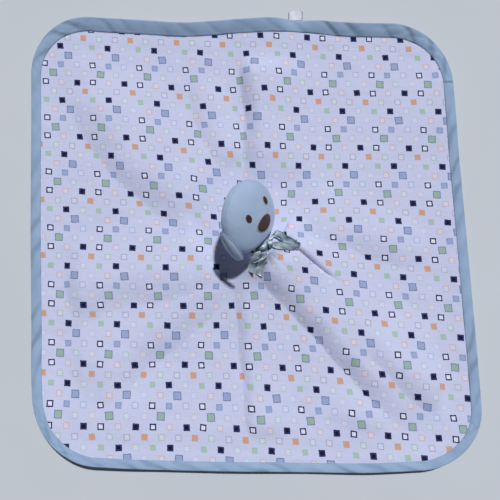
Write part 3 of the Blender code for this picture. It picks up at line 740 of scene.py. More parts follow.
@dataclass(frozen=True)
class Flank:
    """One side of a fold: how wide it is, how round its crest is, and how soft its foot."""

    width: float
    crest: float = 2.0
    foot: float = 1.0

    def rise(self, aside: np.ndarray) -> np.ndarray:
        """Share of the fold's height at distances from its crest."""
        return (1 - np.clip(aside / self.width, 0, 1) ** self.crest) ** self.foot


@dataclass(frozen=True)
class Fold:
    """A fold that runs out from the neck.

    Its path holds places along its crest, in mm from the blanket's middle. Its flanks are on the
    left and right hands of that path. starts and ends are the shares of the path over which it
    grows and dies away.
    """

    path: tuple[tuple[float, float], ...]
    height: float
    left: Flank
    right: Flank
    starts: float = 0.2
    ends: float = 0.3

    def rise(self, plan: np.ndarray) -> np.ndarray:
        """Height that the fold adds at places over the blanket."""
        line = smooth_path(np.array(self.path) * MM, 10)
        shares = np.linspace(0, 1, len(line))
        nearest = np.full(len(plan), np.inf)
        aside = np.zeros(len(plan))
        along = np.zeros(len(plan))
        for index, (start, end) in enumerate(zip(line[:-1], line[1:])):
            step = end - start
            length = np.hypot(*step)
            away = plan - start
            share = np.clip(away @ step / length ** 2, 0, 1)
            distance = np.linalg.norm(away - share[:, None] * step, axis=1)
            closer = distance < nearest
            side = np.sign(step[0] * away[:, 1] - step[1] * away[:, 0])
            nearest[closer] = distance[closer]
            aside[closer] = (distance * side)[closer]
            along[closer] = (shares[index] + share * (shares[index + 1] - shares[index]))[closer]
        flank = np.where(aside > 0, self.left.rise(np.abs(aside)), self.right.rise(np.abs(aside)))
        swell = eased(along / self.starts) * (1 - eased((along - 1 + self.ends) / self.ends))
        return self.height * flank * swell


FOLDS = (
    Fold(((13, 40), (12, 102), (10, 126), (6, 159), (0, 204)), 7.4 * MM,
         Flank(17 * MM, 2.0, 1.5), Flank(58 * MM, 1.4, 1.8), 0.15, 0.2),
    Fold(((-30, 22), (-62, 40), (-87, 58), (-109, 80), (-135, 115), (-157, 152)), 6.2 * MM,
         Flank(31 * MM, 2.0, 1.5), Flank(80 * MM, 1.5, 1.9), 0.2, 0.25),
    Fold(((-30, -13), (-47, -21), (-75, -30), (-121, -38), (-148, -49), (-184, -67)), 5.4 * MM,
         Flank(30 * MM, 2.0, 1.5), Flank(60 * MM, 1.5, 1.8), 0.2, 0.2),
    Fold(((-22, -22), (-57, -59), (-78, -80), (-113, -106), (-138, -154)), 5.8 * MM,
         Flank(28 * MM, 2.0, 1.5), Flank(56 * MM, 1.5, 1.8), 0.2, 0.2),
    Fold(((-2, -30), (1, -79), (4, -124), (8, -162), (12, -198)), 4.0 * MM,
         Flank(42 * MM, 1.4, 1.8), Flank(11 * MM, 1.8, 1.5), 0.25, 0.06),
    Fold(((18, -20), (29, -35), (49, -56), (76, -83), (98, -110), (128, -140), (160, -176)), 7.2 * MM,
         Flank(78 * MM, 1.6, 2.0), Flank(19 * MM, 2.0, 1.5), 0.2, 0.28),
    Fold(((31, -1), (37, -4), (48, -13), (68, -29), (94, -50)), 4.4 * MM,
         Flank(24 * MM, 1.2, 1.9), Flank(4.2 * MM, 1.5, 1.0), 0.12, 0.6),
    Fold(((33, -4), (39, -8), (49, -17), (68, -33), (84, -46)), -4.2 * MM,
         Flank(2.6 * MM, 1.2, 1.2), Flank(3.2 * MM, 1.4, 1.3), 0.1, 0.5),
    Fold(((40, 20), (61, 16), (91, 9), (119, -4), (148, -13), (176, -16)), 3.4 * MM,
         Flank(40 * MM, 1.5, 1.8), Flank(20 * MM, 2.0, 1.5), 0.3, 0.35),
    Fold(((102, -80), (122, -99), (141, -120), (162, -139), (182, -144)), 4.0 * MM,
         Flank(50 * MM, 1.6, 2.0), Flank(18 * MM, 2.0, 1.5), 0.3, 0.3),
    Fold(((-8, 62), (-21, 86), (-32, 108), (-42, 138), (-50, 168)), 3.4 * MM,
         Flank(18 * MM, 2.0, 1.5), Flank(26 * MM, 1.6, 1.6), 0.2, 0.4),
    Fold(((60, -150), (95, -158), (128, -168)), 2.4 * MM,
         Flank(28 * MM, 1.8, 1.6), Flank(16 * MM, 1.8, 1.4), 0.4, 0.4),
)


@dataclass(frozen=True)
class HeadPlace:
    """Where the head stands over the blanket, and its neck's pivot under it."""

    centre: tuple[float, float, float] = (0.9 * MM, 9.7 * MM, 42.1 * MM)
    turn: tuple[float, float, float] = (43.2 * DEGREE, -29.6 * DEGREE, -127.2 * DEGREE)
    chin_drop: float = 26.0 * MM
    blanket_shift: float = -2.887 * MM

    def axes(self) -> Matrix:
        """The head's own axes."""
        return Euler(self.turn, "XYZ").to_matrix()

    def pivot(self) -> Vector:
        """Point that the head nods about."""
        crown = self.axes() @ Vector((0, 0, 1))
        return Vector(self.centre) + Vector((0, self.blanket_shift, 0)) - crown * self.chin_drop

    def world(self, points: np.ndarray) -> np.ndarray:
        """Place points given about the pivot in the head's axes."""
        turn = np.array(self.axes())
        return points @ turn.T + np.array(self.pivot())


@dataclass(frozen=True)
class BlanketLie:
    """How the blanket lies: its outline, its climb to the neck, its folds and its lifted hem."""

    place: HeadPlace = field(default_factory=HeadPlace)
    width: float = 394 * MM
    length: float = 410 * MM
    corner_radius: float = 58 * MM
    # How far it lies out of square: sideways along its length, and upward across its width
    lean: float = -0.0457
    rise: float = -0.0208
    neck_radius: float = 7.5 * MM
    stack: float = 2.0 * MM
    clearance: float = 0.3 * MM
    band_bottom: float = 5.9 * MM
    tent_length: float = 20 * MM
    flat_cut: float = 0.5 * MM
    edge_lift: float = 5.0 * MM
    wall: float = 0.6 * MM
    side_cells: int = 120
    corner_cells: int = 40
    # Where the hem lifts: bearing and spread in degrees, and its share of edge_lift
    hem_lifts: tuple[tuple[float, float, float], ...] = (
        (226, 15, 1.75), (262, 24, 1.00), (302, 16, 0.95), (320, 8, 0.30), (41, 11, 0.60), (88, 9, 0.75),
        (136, 10, 0.35))
    # How far the folds wander off their paths, and over what length
    fold_sway: float = 2.2 * MM
    fold_sway_size: float = 30 * MM
    # The hem's edge stands up along the upper and lower sides, but hardly by the label
    tape: float = 9.5 * MM
    stand: float = 4.0 * MM
    stand_curve: float = 1.2
    # How much less it stands along the upper side, and how much more along the lower
    stand_above: float = 0.5
    # The tape shows wider along the upper side, where it was turned further up, than along the lower
    turned_up: float = 0.2
    label_place: float = 54 * MM
    label_calm: float = 16 * MM
    label_hold: float = 0.9
    # How far the hem lies drawn in, in mm, at bearings from the middle, and how many places on each
    # side that is smoothed over
    drawn: tuple[tuple[float, float], ...] = (
        (0, 0.5), (38, 1.0), (47, 1.8), (53, 4.0), (58, 4.6), (66, 4.0), (72, 1.2), (79, 1.2), (86, 3.0),
        (91, 3.2), (97, 5.2), (104, 7.4), (110, 6.3), (117, 4.8), (125, 3.4), (133, 1.8), (145, 1.0),
        (180, 0.2), (212, 1.2), (220, 4.8), (229, 5.4), (236, 3.0), (243, 1.2), (252, 0.7), (286, 1.6),
        (294, 2.2), (300, 4.0), (306, 6.0), (311, 6.4), (316, 4.6), (322, 1.8), (330, 0.5))
    drawn_soft: int = 5

    def crown(self) -> Vector:
        """Direction that the neck points in."""
        return self.place.axes() @ Vector((0, 0, 1))

    def hole_centre(self) -> Vector:
        """Middle of the cloth's rim round the neck."""
        crown = self.crown()
        drop = self.band_bottom + self.clearance + self.stack * crown.z
        return self.place.pivot() - crown * drop

    def about_hole(self, plan: np.ndarray) -> tuple[np.ndarray, np.ndarray]:
        """Distance and bearing of places from the middle of that rim."""
        hole = self.hole_centre()
        away = plan - np.array((hole.x, hole.y))
        return np.hypot(away[:, 0], away[:, 1]), np.arctan2(away[:, 1], away[:, 0])

    def laid(self, flat: np.ndarray) -> np.ndarray:
        """Put points of the squared-up blanket where they lie, a little out of square."""
        return np.column_stack((flat[:, 0] + self.lean * flat[:, 1],
                                flat[:, 1] + self.rise * flat[:, 0] + self.place.blanket_shift))

    def squared(self, laid: np.ndarray) -> np.ndarray:
        """Find the squared-up places of points that lie on the surface."""
        up = laid[:, 1] - self.place.blanket_shift
        share = 1 - self.lean * self.rise
        across = (laid[:, 0] - self.lean * up) / share
        return np.column_stack((across, (up - self.rise * laid[:, 0]) / share))

    def rounded(self, inset: float) -> np.ndarray:
        """Points round the squared-up outline less an inset, anticlockwise from the right side."""
        half_x = self.width / 2 - self.corner_radius
        half_y = self.length / 2 - self.corner_radius
        radius = self.corner_radius - inset
        centres = np.array(((half_x, half_y), (-half_x, half_y), (-half_x, -half_y), (half_x, -half_y)))
        points = []
        for quarter in range(4):
            angles = (quarter + np.linspace(0, 1, self.corner_cells + 1)) * math.pi / 2
            points.extend(centres[quarter] + radius * np.column_stack((np.cos(angles), np.sin(angles))))
            turn = (quarter + 1) * math.pi / 2
            end = centres[(quarter + 1) % 4] + radius * np.array((math.cos(turn), math.sin(turn)))
            start = points[-1]
            for cell in range(1, self.side_cells):
                points.append(start + (end - start) * cell / self.side_cells)
        return np.array(points)

    def outline(self, inset: float) -> np.ndarray:
        """Points round the outline less an inset, where they lie, with the hem drawn in."""
        edge = self.rounded(0.0)
        inward = (self.rounded(MM) - edge) / MM
        bearing = np.degrees(np.arctan2(edge[:, 1], edge[:, 0]))
        stops, depths = np.array(self.drawn).T
        depth = np.interp(bearing, stops, depths, period=360) * MM
        steps = range(-self.drawn_soft, self.drawn_soft + 1)
        soft = sum(np.roll(depth, step) for step in steps) / len(steps)
        shown = inset * (1 - self.turned_up * inward[:, 1])
        return self.laid(edge + inward * (shown + soft)[:, None])

    def stood(self, inset: float) -> np.ndarray:
        """Height that the hem's standing edge has at an inset, at each place round the outline."""
        edge = self.rounded(0.0)
        inward = (self.rounded(MM) - edge) / MM
        by_label = np.exp(-((edge[:, 0] - self.label_place) / self.label_calm) ** 2) * (inward[:, 1] < 0)
        steep = self.stand * inward[:, 1] ** 2 * (1 - self.stand_above * inward[:, 1])
        outward = max(0.0, 1 - inset / self.tape) ** self.stand_curve
        return steep * (1 - self.label_hold * by_label) * outward

    def hole_reach(self, bearing: np.ndarray) -> np.ndarray:
        """Distance from the hole's middle to its rim, seen from above."""
        crown = self.crown()
        lean = crown.angle(Vector((0, 0, 1)))
        radius = self.neck_radius + self.clearance + self.stack * math.sin(lean)
        tilt = crown.x * np.cos(bearing) + crown.y * np.sin(bearing)
        return radius / np.sqrt(1 + (tilt / crown.z) ** 2)

    def folds(self, plan: np.ndarray) -> np.ndarray:
        """Height that the folds add at places over the blanket."""
        level = plan - np.array((0, self.place.blanket_shift))
        flat = np.column_stack((plan, np.zeros(len(plan))))
        sway = np.column_stack([ripple(flat, self.fold_sway_size, seed) for seed in (4.1, 12.6)])
        level = level + self.fold_sway * sway
        return sum(fold.rise(level) for fold in FOLDS)

    def height(self, plan: np.ndarray, fade: np.ndarray) -> np.ndarray:
        """Height of the cloth's underside over the surface, away from the hem.

        Args:
            plan: places, two numbers each.
            fade: share of the folds' height that each place gets.

        Returns:
            One height for each place.
        """
        crown = self.crown()
        distance, bearing = self.about_hole(plan)
        reach = self.hole_reach(bearing)
        tilt = crown.x * np.cos(bearing) + crown.y * np.sin(bearing)
        rim = self.hole_centre().z - tilt / crown.z * reach
        beyond = np.maximum(distance - reach, 0.0)
        near = np.exp(-beyond / self.tent_length)
        return np.maximum(rim * near + fade * self.folds(plan) - self.flat_cut * (1 - near), 0.0)

    def lift(self, plan: np.ndarray) -> np.ndarray:
        """Height that the hem is lifted off the surface, at each place's bearing."""
        bearing = self.about_hole(plan)[1]
        lift = np.zeros(len(plan))
        for middle, spread, share in self.hem_lifts:
            offset = ((bearing - middle * DEGREE + math.pi) % (2 * math.pi) - math.pi) / (spread * DEGREE)
            lift += self.edge_lift * share * np.exp(-offset * offset)
        return np.maximum(lift - self.wall, 0.0)


@dataclass
class Cloths:
    """The blanket's two cloths: the printed face and the velour back, gathered at the neck."""

    lie: BlanketLie
    backing_thickness: float = 1.0 * MM
    printed_thickness: float = 0.7 * MM
    flat_hem: float = 11 * MM
    hem_slope: float = 14 * MM
    hem_rise: float = 0.9 * MM
    cut_inset: float = 2.2 * MM
    ply_gap: float = 0.25 * MM
    inner_rings: int = 84
    hem_rings: int = 6
    # How the rings crowd towards the neck, and where along the cloth the folds die away to the hem
    # and the hem's lift sets in
    crowding: float = 1.3
    folds_to: float = 0.87
    lift_from: float = 0.55
    pleats: int = 15
    pleat_depth: float = 0.9 * MM
    pleat_start: float = 5 * MM
    pleat_reach: float = 16 * MM
    # How round the pleats are, how far they rise over the cloth's level, and how they wander
    pleat_round: float = 1.5
    pleat_level: float = 0.4
    pleat_wander: float = 1.1
    pleat_sway: float = 60 * MM
    # Ripples all over the cloth, as height, size and seed
    ripples: tuple[tuple[float, float, float], ...] = (
        (0.35 * MM, 26 * MM, 1.7), (0.16 * MM, 9 * MM, 5.3))
    pucker: float = 0.3 * MM
    pucker_reach: float = 9 * MM
    pucker_size: float = 0.05
    least_height: float = 0.02 * MM
    cut: tuple[float, float] = (390 * MM, 406 * MM)
    cut_corner: float = 56 * MM
    # The print's repeat on the squared-up cloth: where one orange square is, and the step of one
    # column and of one row from there
    repeat_from: tuple[float, float] = (-13.1 * MM, -25.4 * MM)
    repeat_column: tuple[float, float] = (14.654 * MM, -0.22 * MM)
    repeat_row: tuple[float, float] = (-0.135 * MM, 8.682 * MM)
    # The gathers at the neck draw the cloth in: how far there, and how that dies away
    drawn_in: float = 7.7 * MM
    drawn_reach: float = 212 * MM
    drawn_to: tuple[float, float] = (9.9 * MM, -3.4 * MM)

    def surface(self) -> np.ndarray:
        """Rings of points of the cloths' underside, from the hole to the cut edge.

        Returns:
            The points, by ring, place round the ring, and axis.
        """
        lie = self.lie
        hole = lie.hole_centre()
        middle = np.array((hole.x, hole.y))
        slope = lie.outline(self.flat_hem + self.hem_slope)
        hem = lie.outline(self.flat_hem)
        edge = lie.outline(self.cut_inset)
        lift = lie.lift(hem)
        spoke = slope - middle
        length = np.hypot(spoke[:, 0], spoke[:, 1])
        reach = lie.hole_reach(np.arctan2(spoke[:, 1], spoke[:, 0]))
        towards = spoke / length[:, None]
        rings = []
        for share in np.linspace(0, 1, self.inner_rings) ** self.crowding:
            place = middle + towards * (reach + (length - reach) * share)[:, None]
            fade = 1 - eased(np.full(len(place), (share - self.folds_to) / (1 - self.folds_to)))
            raised = lift * float(eased(np.array((share - self.lift_from) / (1 - self.lift_from))))
            rings.append(np.column_stack((place, lie.height(place, fade) + raised)))
        inner = rings[-1]
        low = np.column_stack((hem, lift + self.hem_rise))
        for share in np.linspace(0, 1, self.hem_rings)[1:]:
            ring = inner + (low - inner) * share
            ring[:, 2] = inner[:, 2] + (low[:, 2] - inner[:, 2]) * eased(np.array(share))
            rings.append(ring)
        rim = np.column_stack((edge, lift + self.hem_rise))
        for share in np.linspace(0, 1, self.hem_rings)[1:]:
            ring = low + (rim - low) * share
            ring[:, 2] += lie.stood(self.flat_hem + (self.cut_inset - self.flat_hem) * share)
            rings.append(ring)
        return np.array(rings)

    def rumple(self, rings: np.ndarray) -> np.ndarray:
        """Add the cloth's small creases: pleats at the neck, ripples, and puckers by the binding."""
        plan = rings[..., :2].reshape(-1, 2)
        distance, bearing = self.lie.about_hole(plan)
        beyond = np.maximum(distance - self.lie.hole_reach(bearing), 0)
        level = np.column_stack((plan, np.zeros(len(plan))))
        around = np.column_stack((np.cos(bearing), np.sin(bearing), distance / self.pleat_sway))
        wave = np.cos(bearing * self.pleats / 2 + self.pleat_wander * ripple(around, 0.5, 3.1))
        pleat = np.abs(wave) ** self.pleat_round - self.pleat_level
        near = np.exp(-beyond / self.pleat_reach) * eased(beyond / self.pleat_start)
        rise = self.pleat_depth * pleat * near
        rise += sum(height * ripple(level, size, seed) for height, size, seed in self.ripples)
        count = rings.shape[1]
        inward = np.zeros(rings.shape[:2])
        last = rings.shape[0] - 1
        for ring in range(rings.shape[0]):
            gap = rings[ring] - rings[last - self.hem_rings + 1]
            inward[ring] = np.hypot(gap[:, 0], gap[:, 1])
        along = np.tile(np.arange(count) / count, rings.shape[0])
        pucker = ripple(np.column_stack((np.cos(along * 2 * math.pi), np.sin(along * 2 * math.pi),
                                         np.zeros(len(along)))), self.pucker_size, 8.9)
        outer = np.exp(-(inward.ravel() / self.pucker_reach) ** 2)
        rise += self.pucker * pucker * outer
        calm = np.ones(rings.shape[:2])
        calm[-self.hem_rings:] = np.linspace(1, 0, self.hem_rings)[:, None]
        raised = rings.copy()
        raised[..., 2] += (rise * calm.ravel()).reshape(rings.shape[:2])
        raised[..., 2] = np.maximum(raised[..., 2], self.least_height)
        return raised

    def sheet(self, name: str, rings: np.ndarray, bottom: float, thickness: float,
              finish: Finish) -> bpy.types.Object:
        """Make one layer as a closed sheet.

        Args:
            name: the piece's name.
            rings: the rings of points that the layer lies on.
            bottom: how far its underside is over those.
            thickness: its thickness.
            finish: its finish.

        Returns:
            The piece.
        """
        rows, columns = rings.shape[:2]
        points = rings.reshape(-1, 3)
        draft = bpy.data.meshes.new(name + "_draft")
        draft.from_pydata([tuple(point) for point in points], [], grid_faces(rows, columns, 0, True))
        draft.update()
        normals = np.array([vertex.normal for vertex in draft.vertices])
        normals *= np.sign(normals[:, 2:3])
        bpy.data.meshes.remove(draft)
        low = points + normals * bottom
        high = low + normals * thickness
        count = rows * columns
        faces = [face[::-1] for face in grid_faces(rows, columns, 0, True)]
        faces += grid_faces(rows, columns, count, True)
        for first in (0, count - columns):
            faces += wall_faces(list(range(first, first + columns)),
                                list(range(count + first, count + first + columns)), True)
        mesh = new_mesh(name, np.vstack((low, high)), faces)
        flat = self.lie.squared(points[:, :2])
        away = flat - np.array(self.drawn_to)
        distance = np.hypot(away[:, 0], away[:, 1])[:, None] + self.printed_thickness
        flat = flat + away / distance * self.drawn_in * np.exp(-distance / self.drawn_reach)
        steps = np.array((self.repeat_column, self.repeat_row)).T
        places = np.linalg.solve(steps, (flat - np.array(self.repeat_from)).T).T
        add_map(mesh, "repeat", np.vstack((places, places)))
        return new_piece(name, mesh, finish)

    def build(self) -> tuple[bpy.types.Object, bpy.types.Object]:
        """Make the printed and backing sheets and settle them."""
        rings = self.rumple(self.surface())
        backing = self.sheet("velour_backing_sheet", rings[::2, ::2], 0.0, self.backing_thickness,
                             Velour(title="backing_velour_pile"))
        printed = self.sheet("printed_face_sheet", rings, self.backing_thickness + self.ply_gap,
                             self.printed_thickness, PrintedJersey())
        settle(backing, "blanket", "backing_velour", "backing_cloth")
        settle(printed, "blanket", "printed_jersey", "printed_cloth")
        return printed, backing


@dataclass
class Binding:
    """The tape folded round the blanket's edge, and its line of stitches."""

    lie: BlanketLie
    width: float = 9.5 * MM
    wall: float = 0.6 * MM
    roll: float = 1.9 * MM
    roll_flat: float = 0.9
    crown: float = 0.5 * MM
    crown_lean: float = 0.8
    slot_top: float = 3.0 * MM
    edge_ply: float = 0.25 * MM
    hem_inset: float = 11 * MM
    # Creases that slant along the tape, most where it was stretched round a corner: their pitch
    # over a full turn, lean, unevenness and height, the least of them along a straight side, how
    # far they reach beyond a corner, how sharp and deep they are, and the bumps between them
    crease_pitch: float = 6.5 * MM
    crease_lean: float = 4.2
    crease_sway: float = 3.5
    crease_height: float = 0.55 * MM
    crease_least: float = 0.12
    crease_spread: float = 0.75
    crease_sharpness: float = 0.6
    crease_depth: float = 1.6
    crease_bumps: float = 0.5
    swell: float = 0.35 * MM
    swell_size: float = 14 * MM
    pucker_size: float = 4.5 * MM
    stitch_inset: float = 8.4 * MM
    stitch_length: float = 2.1 * MM
    stitch_pitch: float = 2.7 * MM
    stitch_sink: float = 0.3 * MM
    thread: float = 0.36 * MM
    thread_sides: int = 6
    thread_slices: int = 5

    def section(self) -> np.ndarray:
        """The tape's cross-section: distance in from the edge, and height."""
        top = self.slot_top + self.wall
        middle = top / 2
        turn = self.roll * self.roll_flat
        outer = []
        for angle in np.linspace(-90, 90, 9) * DEGREE:
            outer.append((self.roll * (1 - math.cos(angle)) * self.roll_flat,
                          middle + middle * math.sin(angle)))
        crowned = []
        for share in np.linspace(0, 1, 9)[1:]:
            inset = turn + (self.width - turn) * share
            thin = (self.wall - self.edge_ply) * float(eased(np.array((share - 0.55) / 0.45)))
            crowned.append((inset, top - thin + self.crown * math.sin(math.pi * share ** self.crown_lean)))
        half = self.width / 2
        under = [(self.width, self.slot_top), (half, self.slot_top), (self.roll, self.slot_top),
                 (self.roll, self.wall), (half, self.wall), (self.width, self.wall), (self.width, 0.0),
                 (half, 0.0)]
        return np.array(outer + crowned + under)

    def build_tape(self) -> bpy.types.Object:
        """Make the tape as one closed loop, puckered as sewn round the corners."""
        section = self.section()
        hem = self.lie.outline(self.hem_inset)
        lift = self.lie.lift(hem)
        lines = [self.lie.outline(inset) for inset, _ in section]
        count = len(hem)
        edge = self.lie.outline(0.0)
        steps = np.hypot(*(np.roll(edge, -1, axis=0) - edge).T)
        along = np.concatenate(([0.0], np.cumsum(steps)[:-1]))
        level = np.column_stack((edge, np.zeros(count)))
        slow = ripple(level, self.swell_size, 2.2)
        quick = ripple(level, self.pucker_size, 7.7)
        quarter = self.lie.side_cells + self.lie.corner_cells
        part = np.arange(count) % quarter
        spread = self.crease_spread * self.lie.corner_cells
        bend = np.exp(-((part - self.lie.corner_cells / 2) / spread) ** 2)
        stood = [self.lie.stood(inset) for inset, _ in section]
        points = []
        places = []
        for at in range(count):
            for spot, (inset, height) in enumerate(section):
                x, y = lines[spot][at]
                upper = 1.0 if height > self.slot_top + 0.1 * MM else 0.0
                inner = inset / self.width
                phase = along[at] / self.crease_pitch - self.crease_lean * inner
                phase += self.crease_sway * slow[at]
                twisted = 1 - abs(math.sin(phase)) ** self.crease_sharpness
                share = self.crease_least + (1 - self.crease_least) * bend[at]
                crease = share * (self.crease_bumps * quick[at] - self.crease_depth * twisted)
                middle = math.sin(math.pi * min(0.12 + 0.8 * inner, 1.0))
                swell = upper * (self.swell * slow[at] * (1 - inner) + self.crease_height * crease * middle)
                points.append((x, y, height + lift[at] + swell + stood[spot][at]))
                places.append((along[at], inset + (self.width * 2 if height < self.wall else 0.0)))
        size = len(section)
        faces = grid_faces(count, size, 0, True)
        faces += wall_faces([(count - 1) * size + spot for spot in range(size)], list(range(size)), True)
        mesh = new_mesh("edge_binding_tape", np.array(points), faces)
        add_map(mesh, "tape", np.array(places))
        return new_piece("edge_binding_tape", mesh, BindingKnit())

    def build_stitches(self) -> bpy.types.Object:
        """Make the stitches that hold the tape, as short bowed threads along its inner edge."""
        line = self.lie.outline(self.stitch_inset)
        hem = self.lie.outline(self.hem_inset)
        lift = self.lie.lift(hem) + self.lie.stood(self.stitch_inset)
        steps = np.hypot(*(np.roll(line, -1, axis=0) - line).T)
        along = np.concatenate(([0.0], np.cumsum(steps)))
        total = along[-1]
        closed = np.vstack((line, line[:1]))
        lifts = np.append(lift, lift[0])
        sides, slices = self.thread_sides, self.thread_slices
        rounds = np.linspace(0, 2 * math.pi, sides, endpoint=False)
        points = []
        faces = []
        height = self.slot_top + self.edge_ply + 0.1 * MM + 0.35 * self.crown
        shares = np.linspace(0, 1, slices)
        for stitch in range(int(total / self.stitch_pitch)):
            spots = stitch * self.stitch_pitch + shares * self.stitch_length
            xs = np.interp(spots, along, closed[:, 0])
            ys = np.interp(spots, along, closed[:, 1])
            zs = np.interp(spots, along, lifts) + height
            heading = math.atan2(ys[-1] - ys[0], xs[-1] - xs[0])
            first = len(points)
            for share, x, y, z in zip(shares, xs, ys, zs):
                girth = self.thread / 2 * math.sqrt(max(1 - (2 * share - 1) ** 4, 0.08))
                sink = self.stitch_sink * (2 * share - 1) ** 2
                for angle in rounds:
                    side = girth * math.cos(angle)
                    points.append((x - side * math.sin(heading), y + side * math.cos(heading),
                                   z - sink + girth * math.sin(angle)))
            faces += grid_faces(slices, sides, first, True)
            faces.append(tuple(range(first + sides - 1, first - 1, -1)))
            faces.append(tuple(range(first + (slices - 1) * sides, first + slices * sides)))
        return new_piece("binding_stitches", new_mesh("binding_stitches", np.array(points), faces), Thread())

    def build(self) -> list[bpy.types.Object]:
        """Make the tape and its stitches and settle them."""
        tape = self.build_tape()
        stitches = self.build_stitches()
        settle(tape, "blanket", "binding_tape", "edge_binding")
        settle(stitches, "blanket", "binding_tape")
        return [tape, stitches]


@dataclass
class CareLabel:
    """A short loop of bare white satin tape, caught in the upper hem."""

    lie: BlanketLie
    width: float = 13.0 * MM
    length: float = 9.5 * MM
    height: float = 1.6 * MM
    thickness: float = 0.14 * MM
    gape: float = 0.32 * MM
    sag: float = 0.25 * MM
    # How far open it stays at its root, as a share of its gape
    root_gape: float = 0.35
    strips: int = 9

    def build(self) -> bpy.types.Object:
        """Make the folded loop and settle it."""
        along = np.array((1, self.lie.rise, 0)) / math.hypot(1, self.lie.rise)
        away = np.array((-along[1], along[0], 0))
        root = self.lie.laid(np.array([[self.lie.label_place, self.lie.length / 2]]))[0]
        root = np.array((root[0], root[1], self.height)) + away * self.lie.clearance
        straight = self.length - self.gape
        steps = []
        for share in np.linspace(0, 1, 12):
            steps.append((share * straight, -self.gape * (self.root_gape + (1 - self.root_gape) * share)))
        for angle in np.linspace(-90, 90, 7)[1:-1] * DEGREE:
            steps.append((straight + self.gape * math.cos(angle) * 0.9, self.gape * math.sin(angle)))
        for share in np.linspace(1, 0, 12):
            steps.append((share * straight, self.gape * (self.root_gape + (1 - self.root_gape) * share)))
        path = np.array(steps)
        run = np.gradient(path, axis=0)
        run /= np.hypot(run[:, 0], run[:, 1])[:, None]
        normal = np.column_stack((-run[:, 1], run[:, 0]))
        points = []
        places = []
        for side in (-1, 1):
            offset = path + normal * side * self.thickness / 2
            for row, (out, up) in enumerate(offset):
                for across in np.linspace(-0.5, 0.5, self.strips):
                    sag = self.sag * math.cos(across * math.pi) * max(out, 0) / self.length
                    spot = root + along * across * self.width + away * out
                    points.append(spot + np.array((0, 0, up + sag)))
                    places.append((across * self.width, row * self.length / len(steps) * 2))
        mesh = new_mesh("care_label_loop", np.array(points), slab_faces(len(steps), self.strips))
        add_map(mesh, "ribbon", np.array(places))
        # Its two colours are the painted highlight and painted shade of the satin's bands
        satin = Satin("white_label_satin", "#bcc1d4", "#a9afc4", roughness=0.5, coat=0.0)
        label = new_piece("care_label_loop", mesh, satin)
        settle(label, "label", "label_satin", "care_label")
        return label


